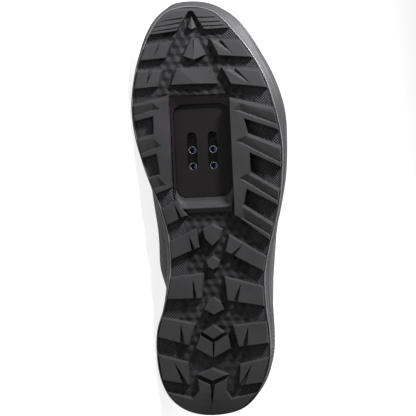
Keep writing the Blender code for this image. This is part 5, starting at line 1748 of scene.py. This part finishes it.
    def cup(self, name: str, node: str, first: float, end: float, heights: tuple[float, float], ribs: tuple) -> list[Array]:
        """A cup round the heel or toe: its top falls from the tip to where it stops, and shallow ribs run round it.

        Args:
            name: the piece's name.
            node: the node that it stands for.
            first: the station of the tip, 0 or 1.
            end: the station where it stops.
            heights: its top edge at that end and at the tip, as shares of the upper's side.
            ribs: how far up each rib lies, as shares of the cup's height.

        Returns:
            The path of its seam.
        """
        limit = float(self.last.turn_at(WIDEST, np.array([end]))[0])
        along = 2 * self.spread(56, 0.012) - 1
        rows = self.spread(26, 0.04)
        turns = first + (limit - first) * abs(along)
        top = heights[0] + (heights[1] - heights[0]) * (1 - along**2)
        climbs = (self.overlay_start + (1 - self.overlay_start) * rows)[None, :] * top[:, None]
        thick = self.thinned((along + 1) / 2, rows, (0.012, 0.04))
        for rib in ribs:
            thick = thick - 0.45 * MM * np.exp(-(((rows - rib) / 0.022) ** 2))[None, :] * (1 - along**8)[:, None]
        faces = {side: (turns[:, None] + 0 * climbs, climbs) for side in Side}
        outer, inner = ({side: self.face(side, *faces[side], out) for side in Side} for out in (self.overlay_gap + thick, self.overlay_gap))
        mine = (along < 0)[:, None, None]
        part = slab(np.where(mine, outer[Side.INNER], outer[Side.OUTER]), np.where(mine, inner[Side.INNER], inner[Side.OUTER]))
        self.shop.put(name, part, "overlay", replaced=(node,), sharp=60)
        share = np.linspace(-0.97, 0.97, 200)
        height = heights[0] + (heights[1] - heights[0]) * (1 - share**2) - 0.035
        path = []
        for place, climb in zip(share, height):
            side = Side.INNER if place < 0 else Side.OUTER
            turn = np.array([first + (limit - first) * abs(place)])
            path.append(self.face(side, turn, np.array([climb]), self.overlay_gap + self.overlay)[0])
        return [np.array(path)]

    def build_stay(self, side: Side) -> list[Array]:
        """The strip that carries the eyelets along one edge of the throat, and its seams' paths."""
        ends = self.last.turn_at(WIDEST, np.array(self.stay_ends))
        along, rows = self.spread(60, 0.012), self.spread(22, 0.04)
        turns = (ends[0] + along * (ends[1] - ends[0]))[:, None]
        climbs = (1 - self.stay_width + rows * (self.stay_top - 1 + self.stay_width))[None, :]
        thick = self.thinned(along, rows, (0.012, 0.04))
        part = slab(self.face(side, turns, climbs, self.overlay_gap + thick), self.face(side, turns, climbs, self.overlay_gap))
        word = side.name.lower()
        stay = self.shop.shape(f"throat_strip_{word}", part)
        self.shop.cut(stay, self.punches())
        self.shop.dress(stay, "overlay", (f"eyestay_{word}",), sharp=55)
        out = self.overlay_gap + self.overlay
        line = np.linspace(ends[0] + 0.006, ends[1] - 0.006, 200)
        return [self.face(side, line, np.full(200, climb), out) for climb in (1 - self.stay_width + 0.02, 0.975)]

    def stitches(self, paths: list[Array]) -> None:
        """Short raised threads at even steps along the seams."""
        angles = 2 * np.pi * np.arange(6) / 6
        round_end = np.column_stack([np.cos(angles), np.sin(angles)])
        parts = []
        for path in paths:
            run = distances(path)
            for start in np.arange(0, run[-1] - self.stitch, self.stitch_step):
                shares = start + self.stitch * np.array([0.0, 0.12, 0.5, 0.88, 1.0])
                line = np.column_stack([np.interp(shares, run, path[:, k]) for k in range(3)])
                along = unit(np.gradient(line, axis=0))
                wide = unit(np.cross(along, [0.3, 0.2, 1.0]))
                size = 0.33 * MM * np.array([0.35, 0.85, 1, 0.85, 0.35])
                parts.append(carried(size[:, None, None] * round_end, line, wide, np.cross(wide, along)))
        self.shop.dress(self.shop.shape("stitching", join([self.shop.outward(p) for p in parts[:1]] + parts[1:])), "thread")

    def build_eyelets(self) -> None:
        """The eyelets: a rolled flange on the strip and a barrel through it."""
        low = self.overlay_gap + self.overlay + self.last.gap
        top, hole, rim = low + self.eyelet_rim, self.hole / 2, self.flange / 2
        base = -self.wall + self.last.gap
        roll = [(rim - 0.42 * MM * (1 - math.cos(a)), (low + top) / 2 + self.eyelet_rim / 2 * math.sin(a)) for a in np.linspace(-1.57, 1.57, 6)]
        lip = [(hole + 0.5 * MM * (1 - math.sin(a)), top - 0.5 * MM * (1 - math.cos(a))) for a in np.linspace(0, 1.57, 5)]
        profile = np.array([(hole, base), (self.barrel / 2, base), (self.barrel / 2, low), *roll, *lip])
        for index, (side, centre, normal, _) in enumerate(self.eyelets()):
            word = f"{side.name.lower()}_{index // 2 + 1}"
            self.shop.put(f"lace_ring_{word}", turned(profile, 24, centre, normal), "steel", replaced=(f"eyelet_{word}",), sharp=60)

    def build_collar(self) -> None:
        """The padded roll inside the collar, from one side of the throat round the heel to the other."""
        end = float(self.last.turn_at(WIDEST, np.array([0.425]))[0])
        along = np.linspace(-1, 1, 121)
        down = np.concatenate([[1.0], 1 - np.linspace(0.004, 1, 14)])
        rings = []
        for place in along:
            side = Side.INNER if place < 0 else Side.OUTER
            turn = np.full(15, abs(place) * end)
            top = self.last.upper(side, turn[:1], np.array([1.0]))[0]
            height = top[2] - float(self.last.footbed(top[0]))
            climb = 1 - (1 - down) * self.roll_reach * 1.2 / height
            taper = 0.35 + 0.65 * float(step(0.0, 0.12, 1 - abs(place)))
            swell = self.roll_thick * taper * np.sin(np.pi * (0.06 + 0.90 * (1 - down))) ** 0.6
            base = self.face(side, turn, climb, -self.wall - 0.15 * MM)
            over = self.face(side, turn, climb, -self.wall - 0.15 * MM - swell)
            rings.append(np.concatenate([over, base[::-1]]))
        rings = np.array(rings)
        count = rings.shape[1]
        faces = grid_faces(len(rings), count, wrap=True).tolist()
        faces += [list(range(count)), list(range((len(rings) - 1) * count, len(rings) * count))]
        roll = self.shop.put("collar_roll", (rings.reshape(-1, 3), faces), "padding", cloth=self.cloth, sharp=70)

    def build(self) -> None:
        """The shell, what is laid on it, and the seams."""
        self.build_shell()
        seams = self.cup("toe_bumper", "toe_cap", 1.0, self.cap_end, self.cap_edge, (0.3, 0.52))
        seams += self.cup("heel_cup", "heel_counter", 0.0, self.counter_end, self.counter_edge, (0.42, 0.66))
        for side in Side:
            seams += self.build_stay(side)
        self.stitches(seams)
        self.build_eyelets()
        self.build_collar()


@dataclass
class Inside:
    """The tongue under the throat and the insole on the footbed."""

    last: Last
    shop: Workshop
    upper: Upper
    thick: float = 5 * MM
    play: float = 0.8 * MM
    crown: float = 0.06
    thinning: float = 0.55
    tip: float = 30 * MM
    insole: float = 4 * MM
    insole_play: float = 0.6 * MM
    quilt: float = 0.5 * MM
    quilt_step: float = 14 * MM

    def under_roof(self, station: float, reach: Array, depth: float) -> Array:
        """The height at a signed distance from the spine, a depth below the upper's face, carried on across
        the throat with a slight crown."""
        heights = np.empty_like(reach)
        spine = self.last.spine(np.array([station * self.last.length]))[0]
        for side in Side:
            turn = np.full(40, self.last.turn_at(WIDEST, np.array([station]))[0])
            climb = np.linspace(0.3, 1, 40)
            face = self.last.upper(side, turn, climb)
            steep = np.clip(self.last.upper_normal(side, turn, climb)[:, 2], 0.35, None)
            away = side.value * (face[:, 1] - spine[1])
            order = np.argsort(away)
            mine = np.sign(reach + 1e-12) == side.value
            crown = self.crown * np.clip(away[order][0] - abs(reach), 0, None)
            heights[mine] = (np.interp(abs(reach), away[order], (face[:, 2] - depth / steep)[order]) + crown)[mine]
        return heights

    def build_tongue(self) -> None:
        """The padded tongue: it lies under the throat's edges and stands up behind the top eyelets."""
        across = np.linspace(-1, 1, 45)
        table = TONGUE_SECTIONS["station"]
        rows = []
        for station in np.linspace(table[-1], table[0], 60):
            reach = across * float(self.last.column(TONGUE_SECTIONS, "half", station)) * self.last.width
            spine = self.last.spine(np.array([station * self.last.length]))[0]
            top = self.under_roof(station, reach, self.upper.wall + self.play)
            rows.append(np.column_stack([np.full_like(reach, spine[0]), spine[1] + reach, top]))
        rim, middle = rows[-1], rows[-1][len(across) // 2]
        shares = np.concatenate([[0], TONGUE_RISE["share"]])
        leans = np.concatenate([[TONGUE_RISE["lean"][0]], TONGUE_RISE["lean"]])
        spreads = np.concatenate([[1.0], TONGUE_RISE["spread"]])
        for share in np.linspace(0, 1, 22)[1:]:
            lean = math.radians(np.interp(share, shares, leans))
            spread = float(smooth(shares, spreads, np.array([share]))[0])
            move = share * self.tip * np.array([-math.cos(lean), 0, math.sin(lean)])
            rows.append(middle + (rim - middle) * [1, spread, 1] + move)
        face = np.array(rows)
        normal = np.cross(np.gradient(face, axis=0), np.gradient(face, axis=1))
        normal = unit(normal) * np.sign(unit(normal)[:1, :, 2:3])
        run = distances(face[:, 22])
        dip = self.quilt * np.exp(-(((run / self.quilt_step) % 1 - 0.5) / 0.09) ** 2)[:, None] * (1 - across**4)
        ends = np.clip(np.minimum(run, run[-1] - run) / (2.5 * MM), 0, 1)
        soft = (0.45 + 0.55 * np.sqrt(1 - (1 - ends) ** 2))[:, None] * (1 - self.thinning * across**4)[None, :]
        part = slab(face - dip[..., None] * normal, face - (self.thick * soft)[..., None] * normal)
        tongue = self.shop.put("padded_tongue", part, "padding", replaced=("tongue",), cloth=self.upper.cloth, sharp=60)

    def build_insole(self) -> None:
        """The insole: flat below, its upper edge softly rounded."""
        turns = np.linspace(0, 1, 121)
        inset = self.upper.wall + self.insole_play
        rings = []
        for share, inward in ((0, 0.25), (0.15, 0), (0.7, 0), (0.93, 0.35), (1.0, 1.0)):
            sides = []
            for side in (Side.OUTER, Side.INNER):
                flat = self.last.towards_spine(self.last.feather(side, turns), inset + inward * MM)
                height = self.last.footbed(flat[:, 0]) + self.last.gap + share * self.insole
                sides.append(np.column_stack([flat, height]))
            rings.append(np.concatenate([sides[0], sides[1][-2:0:-1]]))
        flat_cloth = lambda points: points * [1, 1, 0]
        self.shop.put("footbed_insole", loft(np.array(rings)), "lining", replaced=("insole",), cloth=flat_cloth)


@dataclass
class Lace:
    """One lace: a bar over the lowest pair of eyelets, then crossings that come out under one edge of the
    throat and go down into the next eyelet on the other."""

    shop: Workshop
    upper: Upper
    inside: Inside
    width: float = 5 * MM
    thick: float = 1.4 * MM
    squeezed: float = 0.64
    cross: float = 1.3 * MM

    def above(self) -> float:
        """How far above the upper's face the lace's middle lies on an eyelet."""
        u = self.upper
        return u.overlay_gap + u.overlay + u.last.gap + u.eyelet_rim + self.thick / 2 + 0.3 * MM

    def over(self, eyelet: tuple, away: float = 0.0) -> list[tuple]:
        """The way down into an eyelet from the throat's side: the points and the lace's width at each."""
        _, centre, normal, way = eyelet
        up = self.above() + away
        return [
            (centre + 5.2 * MM * way + up * normal, 1.0),
            (centre + 2.6 * MM * way + (up - 0.1 * MM) * normal, 0.95),
            (centre + 0.9 * MM * way + (up - 0.9 * MM) * normal, 0.8),
            (centre + 0.2 * MM * way + 0.6 * MM * normal, self.squeezed),
            (centre - 1.0 * MM * normal, self.squeezed),
            (centre - (self.upper.wall + 1.3 * MM) * normal, 0.75),
        ]

    def under(self, eyelet: tuple) -> list[tuple]:
        """The way from below an eyelet out under the throat's edge."""
        side, centre, normal, way = eyelet
        reach = self.upper.eyelet_inset * self.upper.side_height
        deep = self.upper.wall + 1.0 * MM
        return [
            (centre + 2.6 * MM * way - (deep + 0.3 * MM) * normal, 0.95),
            (centre + 0.75 * reach * way - deep * normal, 1.0),
            (centre + (reach + 2.5 * MM) * way - (deep - 0.9 * MM) * normal, 1.0),
        ]

    def run(self, start: tuple, end: tuple, lift: float) -> list[tuple]:
        """A crossing from below one eyelet to below the next on the other side."""
        low, high = self.under(start), self.over(end)
        middle = (low[-1][0] + high[0][0]) / 2
        last = self.upper.last
        spine = last.spine(middle[:1])[0]
        top = self.inside.under_roof(middle[0] / last.length, np.array([middle[1] - spine[1]]), self.upper.wall + self.inside.play)[0]
        middle[2] = max(middle[2], top + self.thick / 2 + 0.5 * MM) + lift
        return [*low, (middle, 1.0), *high]

    def build(self) -> None:
        """The whole path, from one top eyelet down to the bar and up to the other, as a flat woven ribbon."""
        places = self.upper.eyelets()
        pairs = [(places[2 * i], places[2 * i + 1]) for i in range(self.upper.eyelet_rows)]
        chains = []
        for first in (0, 1):
            chain, side = [], first
            for number, (low, high) in enumerate(zip(pairs, pairs[1:])):
                chain += self.run(low[side], high[1 - side], self.cross * (0.5 if first == number % 2 else 1.6))
                side = 1 - side
            chains.append(chain)
        bar = self.over(pairs[0][0])[::-1]
        start, end = bar[-1][0], self.over(pairs[0][1])[0][0]
        bar += [((start + end) / 2 + [0, 0, 1.2 * MM], 1.0)] + self.over(pairs[0][1])
        keys = chains[0][::-1] + bar + chains[1]
        points = np.array([k[0] for k in keys])
        widths = np.array([k[1] for k in keys])
        run = distances(points)
        at = np.linspace(0, run[-1], 900)
        path = np.column_stack([smooth(run, points[:, k], at) for k in range(3)])
        width = smooth(run, widths, at)
        along = unit(np.gradient(path, axis=0))
        wide = np.zeros_like(path)
        wide[0] = unit(np.cross(along[0], [0.0, 1.0, 0.0]))
        forward = np.array([1.0, 0.0, 0.0])
        for i in range(1, len(path)):
            guide = wide[i - 1] * 0.9 + 0.1 * forward * np.sign(wide[i - 1] @ forward)
            wide[i] = unit(guide - (guide @ along[i]) * along[i])
        thick = np.cross(wide, along)
        angles = 2 * np.pi * np.arange(12) / 12
        round_x, round_y = np.cos(angles), np.sin(angles)
        oval = np.stack([np.sign(round_x) * abs(round_x) ** 0.6, np.sign(round_y) * abs(round_y) ** 0.8], -1)
        size = np.stack([self.width / 2 * width, np.full(len(path), self.thick / 2)], -1)
        part = carried(size[:, None, :] * oval[None], path, wide, thick)
        cloth = np.column_stack([np.repeat(at, 12), np.tile(angles / (2 * np.pi) * 12.8 * MM, len(at)), np.zeros(12 * len(at))])
        self.shop.put("lace_ribbon", part, "lace", replaced=("lace",), cloth=cloth, sharp=60)


@dataclass
class Stage:
    """The floor, the lights and the camera of the photo."""

    last: Last
    placing: Array
    target: tuple[float, float] = (139.1 * MM, 0.3 * MM)
    aside: float = math.radians(4.5)
    seen: float = 278.4 * MM
    lens: float = 180.0
    sensor: float = 36.0

    def light(self, name: str, place: tuple, size: float, power: float) -> None:
        """An area light that faces the shoe's middle."""
        data = bpy.data.lights.new(name, "AREA")
        data.shape = "DISK"
        data.size = size
        data.energy = power
        lamp = bpy.data.objects.new(name, data)
        bpy.context.scene.collection.objects.link(lamp)
        lamp.location = place
        lamp.rotation_mode = "QUATERNION"
        lamp.rotation_quaternion = (Vector((0, 0, 0.05)) - Vector(place)).to_track_quat("-Z", "Y")

    def floor(self) -> None:
        """A wide pale floor."""
        paint = bpy.data.materials.new("floor_paint")
        paint.use_nodes = True
        shader = paint.node_tree.nodes["Principled BSDF"]
        shader.inputs["Base Color"].default_value = (0.25, 0.25, 0.25, 1)
        shader.inputs["Roughness"].default_value = 0.9
        shader.inputs["Specular IOR Level"].default_value = 0.1
        shader.inputs["Emission Color"].default_value = (1, 1, 1, 1)
        shader.inputs["Emission Strength"].default_value = 0.86
        mesh = bpy.data.meshes.new("floor")
        mesh.from_pydata([(-12, -12, 0), (12, -12, 0), (12, 12, 0), (-12, 12, 0)], [], [(0, 1, 2, 3)])
        mesh.materials.append(paint)
        made = bpy.data.objects.new("floor", mesh)
        bpy.context.scene.collection.objects.link(made)

    def camera(self) -> None:
        """A long lens that faces the tread from a little to the outer side, rolled so that the toe is up."""
        turn, shift = self.placing[:3, :3], self.placing[:3, 3]
        middle = turn @ np.array([*self.target, 0.0]) + shift
        back = turn @ np.array([0.0, math.sin(self.aside), -math.cos(self.aside)])
        up = turn @ np.array([1.0, 0.0, 0.0])
        right = np.cross(up, back)
        data = bpy.data.cameras.new("camera")
        data.lens, data.sensor_width = self.lens, self.sensor
        made = bpy.data.objects.new("camera", data)
        bpy.context.scene.collection.objects.link(made)
        matrix = np.eye(4)
        matrix[:3, :3] = np.column_stack([right, up, back])
        matrix[:3, 3] = middle + back * self.seen * self.lens / self.sensor
        made.matrix_world = Matrix(matrix.tolist())
        bpy.context.scene.camera = made

    def build(self) -> None:
        """Sets the whole stage."""
        scene = bpy.context.scene
        scene.view_settings.view_transform = "Standard"
        scene.world = scene.world or bpy.data.worlds.new("world")
        scene.world.use_nodes = True
        scene.world.node_tree.nodes["Background"].inputs["Color"].default_value = (1, 1, 1, 1)
        scene.world.node_tree.nodes["Background"].inputs["Strength"].default_value = 0.1
        self.floor()
        self.light("key", (-0.56, -0.32, 0.50), 0.15, 24)
        self.light("fill", (-0.4, -2.0, 1.2), 1.2, 10)
        self.light("behind", (0.0, 1.6, 1.6), 2.0, 30)
        self.camera()


def main() -> None:
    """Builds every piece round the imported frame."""
    logging.basicConfig(level=logging.INFO, format="%(message)s")
    for old in list(bpy.data.objects):
        bpy.data.objects.remove(old)
    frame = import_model()
    last = Last()
    placing = Placing(last, frame["record"]).matrix()
    effects = {"speckle": speckle_effect(), "knurl": knurl_effect(), "weave": weave_effect()}
    materials = {name: finish.material(effects) for name, finish in FINISHES.items()}
    shop = Workshop(last, placing, materials)
    pocket = Pocket(last)
    tread = Tread(last, shop, pocket)
    tread.build_lugs()
    tread.build_sheet()
    tread.build_rim()
    tread.build_ramp()
    Cleat(last, shop, pocket, frame["nodes"]).build()
    Midsole(last, shop, pocket).build()
    upper = Upper(last, shop)
    upper.build()
    inside = Inside(last, shop, upper)
    inside.build_insole()
    inside.build_tongue()
    Lace(shop, upper, inside).build()
    Stage(last, placing).build()
    bpy.context.view_layer.update()


if __name__ == "__main__":
    main()
